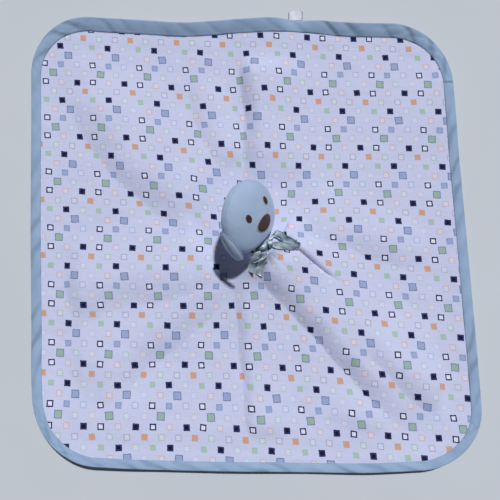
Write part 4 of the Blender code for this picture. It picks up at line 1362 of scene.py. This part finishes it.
@dataclass
class Head:
    """The stuffed head: two velour panels over a ball of fibre, with stitched eyes and nose."""

    place: HeadPlace
    half_width: float = 30.9 * MM
    face_depth: float = 13.5 * MM
    back_depth: float = 14.4 * MM
    crown_height: float = 30.3 * MM
    chin_height: float = 25.6 * MM
    cheek_power: float = 2.73
    cover: float = 1.2 * MM
    # How the covers' rings crowd towards the side seam
    crowding: float = 1.35
    muzzle_rise: float = 1.4 * MM
    muzzle_half_width: float = 11 * MM
    muzzle_half_height: float = 10 * MM
    muzzle_drop: float = 7 * MM
    socket: float = 8.2 * MM
    seam_depth: float = 0.22 * MM
    seam_width: float = 1.1 * MM
    seam_gap: float = 0.04 * MM
    # Lumps of the filling, coarse and fine, and gathers along the seam: height, size and seed of each
    lumps: tuple[tuple[float, float, float], ...] = ((0.32 * MM, 12 * MM, 4.4), (0.12 * MM, 4 * MM, 9.1))
    gathers: tuple[float, float, float] = (0.22 * MM, 3.2 * MM, 6.6)
    gather_reach: float = 5 * MM
    fibre_gap: float = 0.5 * MM
    fibre_lumps: float = 0.2 * MM
    fibre_lump_size: float = 5 * MM
    # Places and half sizes of the right eye and the nose, across and up the face
    eye: tuple[float, float] = (12.6 * MM, 8.1 * MM)
    eye_half: tuple[float, float] = (2.7 * MM, 3.8 * MM)
    eye_ply: float = 0.42 * MM
    nose: tuple[float, float] = (0.0, -5.1 * MM)
    nose_half: tuple[float, float] = (9.6 * MM, 6.1 * MM)
    nose_ply: float = 0.5 * MM
    # Satin stitch: how far it stands off the cover, its least and added thickness, its threads', and
    # how uneven the threads' ends are
    stitch_gap: float = 0.18 * MM
    stitch_least: float = 0.12 * MM
    stitch_dome: float = 0.6 * MM
    stitch_thread: float = 0.16 * MM
    stitch_jag: float = 0.035

    def muzzle(self, x: np.ndarray, z: np.ndarray) -> np.ndarray:
        """How far the muzzle stands out of the face at each place."""
        return self.muzzle_rise * np.exp(-(x / self.muzzle_half_width) ** 2
                                         - ((z + self.muzzle_drop) / self.muzzle_half_height) ** 2)

    def form(self, towards: np.ndarray, inset: float) -> np.ndarray:
        """Points of the head's form about its middle.

        Args:
            towards: unit directions from the middle, one row each.
            inset: how far the form is drawn in.

        Returns:
            The points, one row each.
        """
        depth = np.where(towards[:, 1] > 0, self.face_depth, self.back_depth) - inset
        height = np.where(towards[:, 2] > 0, self.crown_height, self.chin_height) - inset
        power = np.where(towards[:, 2] > 0, 2.0, self.cheek_power)
        level = (towards[:, 0] / (self.half_width - inset)) ** 2 + (towards[:, 1] / depth) ** 2
        upright = np.abs(towards[:, 2]) / height
        reach = (level ** (power / 2) + upright ** power) ** (-1 / power)
        points = towards * reach[:, None]
        forward = eased(points[:, 1] / (self.face_depth / 2)) * (towards[:, 1] > 0)
        points[:, 1] += self.muzzle(points[:, 0], points[:, 2]) * forward
        return points

    def seated(self, points: np.ndarray, inset: float) -> np.ndarray:
        """Move points from about the head's middle to about the pivot, and hollow the neck's socket."""
        moved = points + np.array((0, 0, self.place.chin_drop))
        radius = self.socket + inset
        aside = np.hypot(moved[:, 0], moved[:, 1])
        inside = (np.linalg.norm(moved, axis=1) < radius) & (aside < radius)
        moved[inside, 2] = np.sqrt(radius ** 2 - aside[inside] ** 2)
        return moved

    def shell(self, name: str, side: int) -> bpy.types.Object:
        """Make the front or back panel, a shell whose edge turns in at the side seam.

        Args:
            name: the piece's name.
            side: 1 for the front and -1 for the back.

        Returns:
            The piece.
        """
        rounds, rings = 144, 44
        angles = np.linspace(0, 2 * math.pi, rounds, endpoint=False)
        towards = []
        for share in (np.linspace(0, 1, rings) ** self.crowding)[:-1]:
            lean = share * math.pi / 2
            flat, deep = math.cos(lean), side * math.sin(lean)
            towards += [(math.cos(angle) * flat, deep, math.sin(angle) * flat) for angle in angles]
        towards.append((0.0, float(side), 0.0))
        towards = np.array(towards)
        outer = self.form(towards, 0.0)
        lumps = sum(height * ripple(outer, size, seed) for height, size, seed in self.lumps)
        height, size, seed = self.gathers
        gather = ripple(np.column_stack((outer[:, 0], outer[:, 2], np.zeros(len(outer)))), size, seed)
        near = np.exp(-(outer[:, 1] / self.seam_width) ** 2)
        soft = np.exp(-(outer[:, 1] / self.gather_reach) ** 2)
        outer += towards * (lumps * (1 - near) - self.seam_depth * near + height * gather * soft)[:, None]
        inner = self.form(towards, self.cover + self.seam_depth)
        gap = np.array((0, side * self.seam_gap, 0))
        points = np.vstack((self.seated(outer, 0.0) + gap, self.seated(inner, self.cover) + gap))
        count = len(towards)
        ringed = (rings - 1) * rounds
        faces = []
        for first in (0, count):
            skin = grid_faces(rings - 1, rounds, first, True)
            top = first + ringed
            start = first + ringed - rounds
            skin += [(start + at, start + (at + 1) % rounds, top) for at in range(rounds)]
            faces += skin if first == 0 else [face[::-1] for face in skin]
        edge = wall_faces(list(range(rounds)), list(range(count, count + rounds)), True)
        faces += [face[::-1] for face in edge]
        mesh = new_mesh(name, self.place.world(points), faces)
        return new_piece(name, mesh, Velour(title="head_velour_pile"))

    def fill(self) -> bpy.types.Object:
        """Make the ball of fibre inside the covers."""
        rounds, rings = 40, 22
        towards = [(0.0, 0.0, 1.0)]
        for lean in np.linspace(0, math.pi, rings)[1:-1]:
            towards += [(math.sin(lean) * math.cos(angle), math.sin(lean) * math.sin(angle), math.cos(lean))
                        for angle in np.linspace(0, 2 * math.pi, rounds, endpoint=False)]
        towards.append((0.0, 0.0, -1.0))
        towards = np.array(towards)
        inset = self.cover + self.seam_depth + self.fibre_gap
        points = self.form(towards, inset)
        lumps = self.fibre_lumps * ripple(points, self.fibre_lump_size, 1.2)
        points += towards * (lumps - self.fibre_lumps)[:, None]
        last = len(towards) - 1
        faces = grid_faces(rings - 2, rounds, 1, True)
        faces += [(0, 1 + (at + 1) % rounds, 1 + at) for at in range(rounds)]
        base = last - rounds
        faces += [(last, base + at, base + (at + 1) % rounds) for at in range(rounds)]
        mesh = new_mesh("head_fibre", self.place.world(self.seated(points, inset)), faces)
        return new_piece("head_fibre", mesh, FibreFill())

    def face(self, x: np.ndarray, z: np.ndarray) -> np.ndarray:
        """Points on the face above places across and up it, about the head's middle."""
        height = np.where(z > 0, self.crown_height, self.chin_height)
        power = np.where(z > 0, 2.0, self.cheek_power)
        level = (1 - (np.abs(z) / height) ** power) ** (2 / power) - (x / self.half_width) ** 2
        return np.column_stack((x, self.face_depth * np.sqrt(level) + self.muzzle(x, z), z))

    def patch(self, name: str, middle: tuple[float, float], half: tuple[float, float], lengthwise: bool,
              ply: float) -> bpy.types.Object:
        """Make an oval of satin stitch on the face, of many threads laid side by side.

        Args:
            name: the piece's name.
            middle: its middle, across and up the face.
            half: its half width and half height.
            lengthwise: whether its threads run across the face, not up it.
            ply: the threads' spacing.

        Returns:
            The piece.
        """
        run, stack = (half[0], half[1]) if lengthwise else (half[1], half[0])
        threads = max(int(2 * stack / ply), 6)
        lanes = np.linspace(-1, 1, threads * 6 + 1)
        steps = np.linspace(-1, 1, 41)
        top = []
        low = []
        marks = []
        for lane in lanes:
            number = min(int((lane + 1) / 2 * threads), threads - 1)
            jag = 1 + self.stitch_jag * noise.noise(Vector((number * 3.7, stack / MM, 0.5)))
            reach = math.sqrt(max(1 - lane * lane, 0.004)) * jag
            strand = abs(math.sin((lane + 1) / 2 * threads * math.pi))
            for step in steps:
                along, aside = run * step * reach, stack * lane
                x, z = (along, aside) if lengthwise else (aside, along)
                edge = min(math.hypot(lane, step * reach), 1.0)
                dome = math.sqrt(max(1 - edge ** 4, 0.0)) * (1 - abs(step) ** 14)
                pad = self.stitch_least + dome * (self.stitch_dome + self.stitch_thread * strand)
                top.append((middle[0] + x, middle[1] + z, pad))
                low.append((middle[0] + x, middle[1] + z, 0.0))
                marks.append((edge, lane * threads / 12))
        points = []
        probe = 0.3 * MM
        for spots in (np.array(top), np.array(low)):
            xs, zs = spots[:, 0], spots[:, 1]
            across = self.face(xs + probe, zs) - self.face(xs - probe, zs)
            upward = self.face(xs, zs + probe) - self.face(xs, zs - probe)
            out = np.cross(upward, across)
            out /= np.linalg.norm(out, axis=1)[:, None]
            points.append(self.face(xs, zs) + out * (spots[:, 2] + self.stitch_gap)[:, None])
        about = np.vstack(points) + np.array((0, 0, self.place.chin_drop))
        mesh = new_mesh(name, self.place.world(about), slab_faces(len(lanes), len(steps)))
        add_map(mesh, "stitch", np.array(marks + marks))
        return new_piece(name, mesh, Embroidery())

    def build(self) -> None:
        """Make the head's pieces and settle them."""
        front = self.shell("head_front_panel", 1)
        back = self.shell("head_back_panel", -1)
        settle(front, "head", "head_velour", "head_front_cover")
        settle(back, "head", "head_velour", "head_back_cover")
        settle(self.fill(), "head", "fibre_fill", "head_stuffing")
        for name, side in (("right_eye", 1), ("left_eye", -1)):
            middle = (side * self.eye[0], self.eye[1])
            eye = self.patch(name + "_stitching", middle, self.eye_half, False, self.eye_ply)
            settle(eye, "head", "stitch_thread", name)
        nose = self.patch("nose_stitching", self.nose, self.nose_half, True, self.nose_ply)
        settle(nose, "head", "stitch_thread", "nose")


@dataclass
class Ear:
    """A floppy ear: two layers of velour sewn as one flat padded petal, hinged at its root."""

    head: Head
    name: str
    side: int
    root_height: float
    root_setback: float
    along: tuple[float, float, float]
    out: tuple[float, float, float]
    length: float = 29 * MM
    width: float = 16 * MM
    layer: float = 1.25 * MM
    cup: float = 1.6 * MM
    root_share: float = 0.4
    tip_share: float = 0.24
    widest: float = 0.55
    standoff: float = 0.6 * MM
    twist: float = 0.0
    ply_gap: float = 0.15 * MM
    # The groove down each face, outer and inner, the dip by the rim, and the thinnest that it gets
    grooves: tuple[float, float] = (0.75 * MM, 0.3 * MM)
    rim_dip: float = 0.28 * MM
    thinnest: float = 0.12 * MM
    # Width of the groove, place and width of the dip, and the padding left at the rim, as shares
    groove_width: float = 0.16
    rim_place: float = 0.86
    rim_width: float = 0.08
    rim_pad: float = 0.16
    lumps: float = 0.1 * MM
    lump_size: float = 5 * MM

    def half_width(self, share: float) -> float:
        """Half the ear's width at a share of its length."""
        if share < self.widest:
            swell = math.sin(share / self.widest * math.pi / 2)
            return self.width / 2 * (self.root_share + (1 - self.root_share) * swell)
        taper = (share - self.widest) / (1 - self.widest)
        return self.width / 2 * (self.tip_share + (1 - self.tip_share) * math.sqrt(max(1 - taper ** 2, 0)))

    def build(self) -> bpy.types.Object:
        """Make the ear and settle it."""
        along = Vector(self.along).normalized()
        across = Vector(self.out).cross(along).normalized()
        out = along.cross(across)
        backward = self.root_setback / self.head.back_depth
        upward = self.root_height / self.head.crown_height
        aside = self.side * self.head.half_width * math.sqrt(1 - backward ** 2 - upward ** 2)
        root = Vector((aside, -self.root_setback, self.root_height + self.head.place.chin_drop))
        root += out * (self.layer + self.ply_gap + self.standoff)
        axes = np.array((along, across, out))
        rows, columns = 49, 25
        points = []
        for face, depth in zip((1, -1), self.grooves):
            for share in np.linspace(0, 1, rows):
                ends = (1 - share ** 14) ** 0.5 * (1 - (1 - share) ** 16) ** 0.5
                for spot in np.linspace(-1, 1, columns):
                    swell = math.sin(share * math.pi) * (1 - spot * spot)
                    edge = (1 - abs(spot) ** 3) ** 0.5 * ends
                    groove = math.exp(-(spot / self.groove_width) ** 2)
                    groove *= math.sin(math.pi * min(share * 1.15, 1.0))
                    rim = math.exp(-((abs(spot) - self.rim_place) / self.rim_width) ** 2)
                    pad = (self.layer + 0.1 * MM) * (self.rim_pad + (1 - self.rim_pad) * edge)
                    pad -= depth * groove + self.rim_dip * rim
                    points.append((self.length * share, spot * self.half_width(share),
                                   self.cup * swell + face * max(pad, self.thinnest)))
        spots = np.array(points)
        turn = self.twist * eased(spots[:, 0] / (self.length / 3))
        spots[:, 1], spots[:, 2] = (spots[:, 1] * np.cos(turn) - spots[:, 2] * np.sin(turn),
                                    spots[:, 1] * np.sin(turn) + spots[:, 2] * np.cos(turn))
        spots[:, 2] += self.lumps * ripple(spots, self.lump_size, 2.9 + self.side)
        about = spots @ axes + np.array(root)
        mesh = new_mesh(self.name + "_ear_petal", self.head.place.world(about), slab_faces(rows, columns))
        # The ears wear the head's velour painted lighter, as painted light on them
        ear = new_piece(self.name + "_ear_petal", mesh, Velour("ear_velour_painted_lighter", "#b2c5df", "#9fb4d2"))
        settle(ear, self.name + "_ear", "head_velour", self.name + "_ear_outer", self.name + "_ear_inner")
        return ear


@dataclass
class Neck:
    """The stuffed neck in its gathered sleeve, with the ribbon tied round it."""

    place: HeadPlace
    radius: float = 7.5 * MM
    wall: float = 1.0 * MM
    dome: float = 7.7 * MM
    top: float = 1.2 * MM
    length: float = 9.5 * MM
    gathers: int = 17
    gather_depth: float = 0.45 * MM
    gather_sway: float = 0.8
    fibre_gap: float = 0.75 * MM
    band_top: float = 0.9 * MM
    band_width: float = 5.0 * MM
    band_gap: float = 0.35 * MM
    band_bulge: float = 0.3 * MM
    band_crease: float = 0.12 * MM
    band_creases: float = 14
    ribbon: float = 0.45 * MM

    def turned(self, name: str, rings: list[list[tuple[float, float]]], finish: Finish,
               ruffle: float) -> bpy.types.Object:
        """Turn a closed profile round the neck, with its radius ruffled by the gathers.

        Args:
            name: the piece's name.
            rings: the profile's points, as radius and height.
            finish: its finish.
            ruffle: how deep the gathers are.

        Returns:
            The piece.
        """
        rounds = 120
        points = []
        places = []
        for number, (radius, height) in enumerate(rings):
            for step in range(rounds):
                angle = 2 * math.pi * step / rounds
                swayed = self.gathers * angle + self.gather_sway * math.sin(3 * angle)
                reach = radius - ruffle * (0.5 + 0.5 * math.cos(swayed))
                points.append((reach * math.cos(angle), reach * math.sin(angle), height))
                places.append((angle * radius, number * self.ribbon))
        faces = grid_faces(len(rings), rounds, 0, True)
        last = (len(rings) - 1) * rounds
        faces += wall_faces(list(range(last, last + rounds)), list(range(rounds)), True)
        mesh = new_mesh(name, self.place.world(np.array(points)), faces)
        add_map(mesh, "ribbon", np.array(places))
        return new_piece(name, mesh, finish)

    def build(self) -> None:
        """Make the neck's pieces and settle them."""
        inner = self.radius - self.wall
        heights = np.linspace(self.top, -self.length, 14)
        sleeve = [(inner, height) for height in heights[::-1]]
        sleeve += [(self.radius, height) for height in heights]
        tube = self.turned("neck_gathered_sleeve", sleeve, Velour("neck_velour_pile"), self.gather_depth)
        settle(tube, "neck", "head_velour", "neck_sleeve")
        core = inner - self.fibre_gap
        lean = math.asin(core / self.dome)
        fill = [(0.02 * MM, -self.length), (core, -self.length)]
        fill += [(core, height) for height in np.linspace(-self.length, 0, 8)[1:]]
        for angle in np.linspace(lean, 0.003, 8):
            fill.append((self.dome * math.sin(angle), self.dome * math.cos(angle)))
        stuffing = self.turned("neck_fibre", fill, FibreFill(), 0.0)
        settle(stuffing, "neck", "fibre_fill", "neck_stuffing")
        reach = self.radius + self.band_gap
        band = []
        for share in np.linspace(0, 1, 12):
            band.append((reach, -self.band_top - self.band_width * (1 - share)))
        for share in np.linspace(0, 1, 12):
            bulge = self.band_bulge * math.sin(math.pi * share)
            bulge += self.band_crease * math.sin(share * self.band_creases)
            band.append((reach + self.ribbon * 0.7 + bulge, -self.band_top - self.band_width * share))
        wrap = self.turned("ribbon_round_neck", band, Satin(), self.band_crease)
        settle(wrap, "blanket", "ribbon_satin", "ribbon_band")


@dataclass
class Ribbon:
    """A length of the bow's ribbon, from the knot outwards, lying over the cloth.

    Its path's places over the blanket and heights above the cloth are shares of the bow's reach.
    across holds the directions of its width, evenly spaced from where it starts to where it ends.
    """

    name: str
    node: str
    path: tuple[tuple[float, float, float], ...]
    across: tuple[tuple[float, float, float], ...]
    looped: bool
    curl: float = 0.5 * MM
    slant: float = 0.0


LOOP_RIGHT = Ribbon("bow_right_loop_satin", "bow_loop_right", (
    (0.80, -0.60, 0.05), (1.00, -0.60, 0.04), (1.24, -0.60, 0.04), (1.52, -0.62, 0.05), (1.74, -0.60, 0.10),
    (1.80, -0.55, 0.12), (1.66, -0.50, 0.13), (1.42, -0.41, 0.13), (1.18, -0.29, 0.12), (0.97, -0.17, 0.12),
    (0.85, -0.24, 0.15), (0.79, -0.42, 0.17)), (
    (0.1, 0.95, 0.3), (0.1, 0.9, 0.35), (0.0, 0.5, 0.85), (0.0, 0.35, 0.94), (0.3, 0.9, 0.3),
    (0.5, 0.85, 0.2), (0.8, 0.6, 0.1)), True)
LOOP_LEFT = Ribbon("bow_left_loop_satin", "bow_loop_left", (
    (0.64, -0.91, 0.09), (0.46, -1.00, 0.08), (0.29, -1.06, 0.07), (0.15, -1.09, 0.07), (0.08, -1.07, 0.10),
    (0.14, -1.02, 0.13), (0.29, -0.98, 0.13), (0.46, -0.91, 0.14)), (
    (-0.5, 0.8, 0.3), (-0.5, 0.75, 0.35)), True)
TAIL_LEFT = Ribbon("bow_left_tail_satin", "bow_tail_left", (
    (0.27, -1.04, 0.0), (0.20, -1.12, 0.0), (0.15, -1.20, 0.0), (0.12, -1.34, 0.0), (0.12, -1.51, 0.0)),
    ((0.95, -0.3, 0.1), (0.75, 0.05, 0.6)), False, 0.3 * MM, 1.2 * MM)
TAIL_RIGHT = Ribbon("bow_right_tail_satin", "bow_tail_right", (
    (0.64, -1.00, 0.0), (0.56, -1.07, 0.0), (0.49, -1.16, 0.0), (0.43, -1.34, 0.0), (0.38, -1.60, 0.0)),
    ((0.95, -0.3, 0.1), (1.0, 0.05, 0.1)), False, 0.3 * MM, 1.6 * MM)


@dataclass
class Bow:
    """The satin bow under the chin: knot, two loops and two tails."""

    place: HeadPlace
    cloth: bpy.types.Object
    width: float = 6.5 * MM
    thickness: float = 0.24 * MM
    reach: float = 25 * MM
    standoff: float = 0.6 * MM
    knot_radius: float = 2.6 * MM
    knot_rise: float = -1.0 * MM
    knot_reach: float = 11.15 * MM
    # The knot's coarse and fine folds: their depths, and how many half waves of each there are
    knot_folds: tuple[float, float] = (0.16 * MM, 0.07 * MM)
    knot_waves: tuple[int, int] = (5, 11)
    knot_flat: float = 0.18
    knot_height: float = 0.95
    gather: float = 0.75
    gather_length: float = 0.3
    crease: float = 0.18 * MM
    crease_waves: float = 9
    pinch_reach: float = 1.4
    # Height taken for the cloth over the hole at its middle
    hole_height: float = 22 * MM
    steps: int = 10
    strips: int = 9

    def __post_init__(self) -> None:
        """Find the cloth's surface, for ribbons to lie on."""
        mesh = self.cloth.data
        self.tree = BVHTree.FromPolygons([vertex.co for vertex in mesh.vertices],
                                         [face.vertices for face in mesh.polygons])

    def cloth_top(self, x: float, y: float, otherwise: float) -> float:
        """Height of the printed face over a place, or another height where there is no cloth."""
        hit = self.tree.ray_cast(Vector((x, y, 1.0)), Vector((0, 0, -1)))[0]
        return hit.z if hit else otherwise

    def lay(self, ribbon: Ribbon) -> bpy.types.Object:
        """Make one ribbon and settle it.

        Args:
            ribbon: the ribbon's path and form.

        Returns:
            The piece.
        """
        path = smooth_path(np.array(ribbon.path) * self.reach, self.steps)
        spots = np.linspace(-1, 1, self.strips)
        rows = []
        sides = []
        for index, point in enumerate(path):
            share = index / (len(path) - 1)
            from_knot = 2 * min(share, 1 - share) if ribbon.looped else share
            eased_in = float(eased(np.array(from_knot / self.gather_length)))
            half = self.width / 2 * (self.gather + (1 - self.gather) * eased_in)
            cut = ribbon.slant * max(0.0, (share - 0.8) / 0.2) * (path[-1, :2] - path[-2, :2])
            cut = cut / (np.linalg.norm(path[-1, :2] - path[-2, :2]) + 1e-9)
            knots = np.linspace(0, 1, len(ribbon.across))
            across = np.array([np.interp(share, knots, values) for values in zip(*ribbon.across)])
            across /= np.linalg.norm(across)
            start = np.array((point[0], point[1], 0.0))
            row = np.array([start + across * half * spot + np.append(cut, 0.0) * spot for spot in spots])
            sides.append(across)
            rise = max(self.cloth_top(edge[0], edge[1], self.hole_height) - edge[2] for edge in row)
            row[:, 2] += point[2] + self.standoff + rise
            rows.append(row)
        rows = np.array(rows)
        heading = np.gradient(rows, axis=0)
        heading /= np.linalg.norm(heading, axis=2)[..., None] + 1e-12
        normal = np.cross(heading, np.array(sides)[:, None, :])
        normal /= np.linalg.norm(normal, axis=2)[..., None] + 1e-12
        crease = np.array([self.crease * math.cos(spot * self.crease_waves) for spot in spots])
        share = np.linspace(0, 1, len(rows))
        from_knot = 2 * np.minimum(share, 1 - share) if ribbon.looped else share
        pinch = 1 - eased(from_knot / (self.gather_length * self.pinch_reach))
        bend = ribbon.curl * (1 - spots ** 2)[None, :] + crease[None, :] * pinch[:, None] * 2
        rows = rows + normal * bend[..., None]
        low = rows - normal * self.thickness / 2
        high = rows + normal * self.thickness / 2
        steps = np.linalg.norm(np.diff(rows[:, self.strips // 2], axis=0), axis=1)
        along = np.concatenate(([0.0], np.cumsum(steps)))
        places = np.array([(run, spot * self.width / 2) for run in along for spot in spots])
        points = np.vstack((low.reshape(-1, 3), high.reshape(-1, 3)))
        mesh = new_mesh(ribbon.name, points, slab_faces(len(rows), self.strips))
        add_map(mesh, "ribbon", np.vstack((places, places)))
        piece = new_piece(ribbon.name, mesh, Satin())
        settle(piece, "blanket", "ribbon_satin", ribbon.node)
        return piece

    def tie_knot(self) -> bpy.types.Object:
        """Make the knot, a wrapped pad of ribbon with folds across it."""
        rounds, rings = 48, 28
        points = []
        places = []
        for ring in range(rings + 1):
            lean = math.pi * ring / rings
            for step in range(rounds):
                angle = 2 * math.pi * step / rounds
                fold = self.knot_folds[0] * math.cos(self.knot_waves[0] * lean + 0.7 * math.sin(angle))
                fold += self.knot_folds[1] * math.cos(self.knot_waves[1] * lean)
                radius = (self.knot_radius + fold) * max(math.sin(lean), 0.02)
                flat = 1 - self.knot_flat * abs(math.cos(angle)) ** 3
                points.append((radius * math.cos(angle) * flat, self.knot_reach + radius * math.sin(angle),
                               self.knot_rise + self.knot_radius * self.knot_height * math.cos(lean)))
                places.append((angle * self.knot_radius, lean * self.knot_radius))
        faces = grid_faces(rings + 1, rounds, 0, True)
        faces.append(tuple(range(rounds - 1, -1, -1)))
        faces.append(tuple(range(rings * rounds, (rings + 1) * rounds)))
        mesh = new_mesh("bow_knot_satin", self.place.world(np.array(points)), faces)
        add_map(mesh, "ribbon", np.array(places))
        knot = new_piece("bow_knot_satin", mesh, Satin())
        settle(knot, "blanket", "ribbon_satin", "bow_knot")
        return knot

    def build(self) -> None:
        """Make the bow's pieces."""
        self.tie_knot()
        for ribbon in (LOOP_RIGHT, LOOP_LEFT, TAIL_LEFT, TAIL_RIGHT):
            self.lay(ribbon)


@dataclass
class Studio:
    """The floor, the light and the camera."""

    floor_size: float = 6.0
    floor_drop: float = 0.05 * MM
    lens: float = 38.52
    sensor: float = 36.0
    nearest: float = 10 * MM
    tilt: float = 6.3298 * DEGREE
    roll: float = -0.2880 * DEGREE
    place: tuple[float, float, float] = (4.04 * MM, -69.66 * MM, 479.83 * MM)
    key_bearing: float = 70 * DEGREE
    key_height: float = 62 * DEGREE
    key_strength: float = 3.2
    key_softness: float = 3 * DEGREE
    key_colour: tuple[float, float, float] = (1.0, 0.985, 0.96)
    fill_strength: float = 0.08
    fill_colour: tuple[float, float, float, float] = (0.93, 0.97, 1.05, 1.0)

    def lay_floor(self) -> None:
        """Lay the plain floor under the blanket."""
        half = self.floor_size / 2
        mesh = bpy.data.meshes.new("floor")
        square = [(-half, -half, 0), (half, -half, 0), (half, half, 0), (-half, half, 0)]
        mesh.from_pydata(square, [], [(0, 1, 2, 3)])
        floor = new_piece("floor", mesh, Groundsheet())
        floor.location.z = -self.floor_drop

    def light(self) -> None:
        """Light the blanket with one soft key from the upper right and an even fill."""
        lamp = bpy.data.lights.new("key", "SUN")
        lamp.energy = self.key_strength
        lamp.angle = self.key_softness
        lamp.color = self.key_colour
        key = bpy.data.objects.new("key", lamp)
        bpy.context.scene.collection.objects.link(key)
        towards = Vector((math.cos(self.key_bearing) * math.cos(self.key_height),
                          math.sin(self.key_bearing) * math.cos(self.key_height), math.sin(self.key_height)))
        key.rotation_euler = towards.to_track_quat("Z", "Y").to_euler()
        world = bpy.data.worlds.new("studio")
        bpy.context.scene.world = world
        world.use_nodes = True
        background = world.node_tree.nodes["Background"]
        background.inputs["Color"].default_value = self.fill_colour
        background.inputs["Strength"].default_value = self.fill_strength

    def set_camera(self) -> None:
        """Put the camera where the photograph was taken from."""
        lens = bpy.data.cameras.new("camera")
        lens.lens = self.lens
        lens.sensor_width = self.sensor
        lens.clip_start = self.nearest
        camera = bpy.data.objects.new("camera", lens)
        bpy.context.scene.collection.objects.link(camera)
        turn = Matrix.Rotation(self.tilt, 4, "X") @ Matrix.Rotation(-self.roll, 4, "Y")
        camera.matrix_world = Matrix.Translation(Vector(self.place)) @ turn
        bpy.context.scene.camera = camera

    def build(self) -> None:
        """Set up the studio."""
        self.lay_floor()
        self.light()
        self.set_camera()
        settings = bpy.context.scene.view_settings
        settings.view_transform = "Standard"


def corners(bounds: tuple[Vector, Vector]) -> list[list[float]]:
    """Two corners of a box as plain lists."""
    return [[float(value) for value in corner] for corner in bounds]


def main() -> None:
    """Build the lovey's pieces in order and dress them."""
    logging.basicConfig(level=logging.INFO, format="%(message)s")
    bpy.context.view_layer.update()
    place = HeadPlace()
    lie = BlanketLie(place)
    cloths = Cloths(lie)
    printed, backing = cloths.build()
    trims = Binding(lie).build()
    CareLabel(lie).build()
    head = Head(place)
    head.build()
    Ear(head, "right", 1, root_height=7 * MM, root_setback=3.5 * MM, along=(0.0, 0.25, -0.97),
        out=(0.957, -0.29, -0.085), twist=-15 * DEGREE).build()
    Ear(head, "left", -1, root_height=8.8 * MM, root_setback=6.1 * MM, along=(0.79, -0.60, -0.11),
        out=(-0.58, -0.79, 0.18)).build()
    Neck(place).build()
    Bow(place, printed).build()
    Studio().build()
    LOG.info("sizes written")


if __name__ == "__main__":
    main()
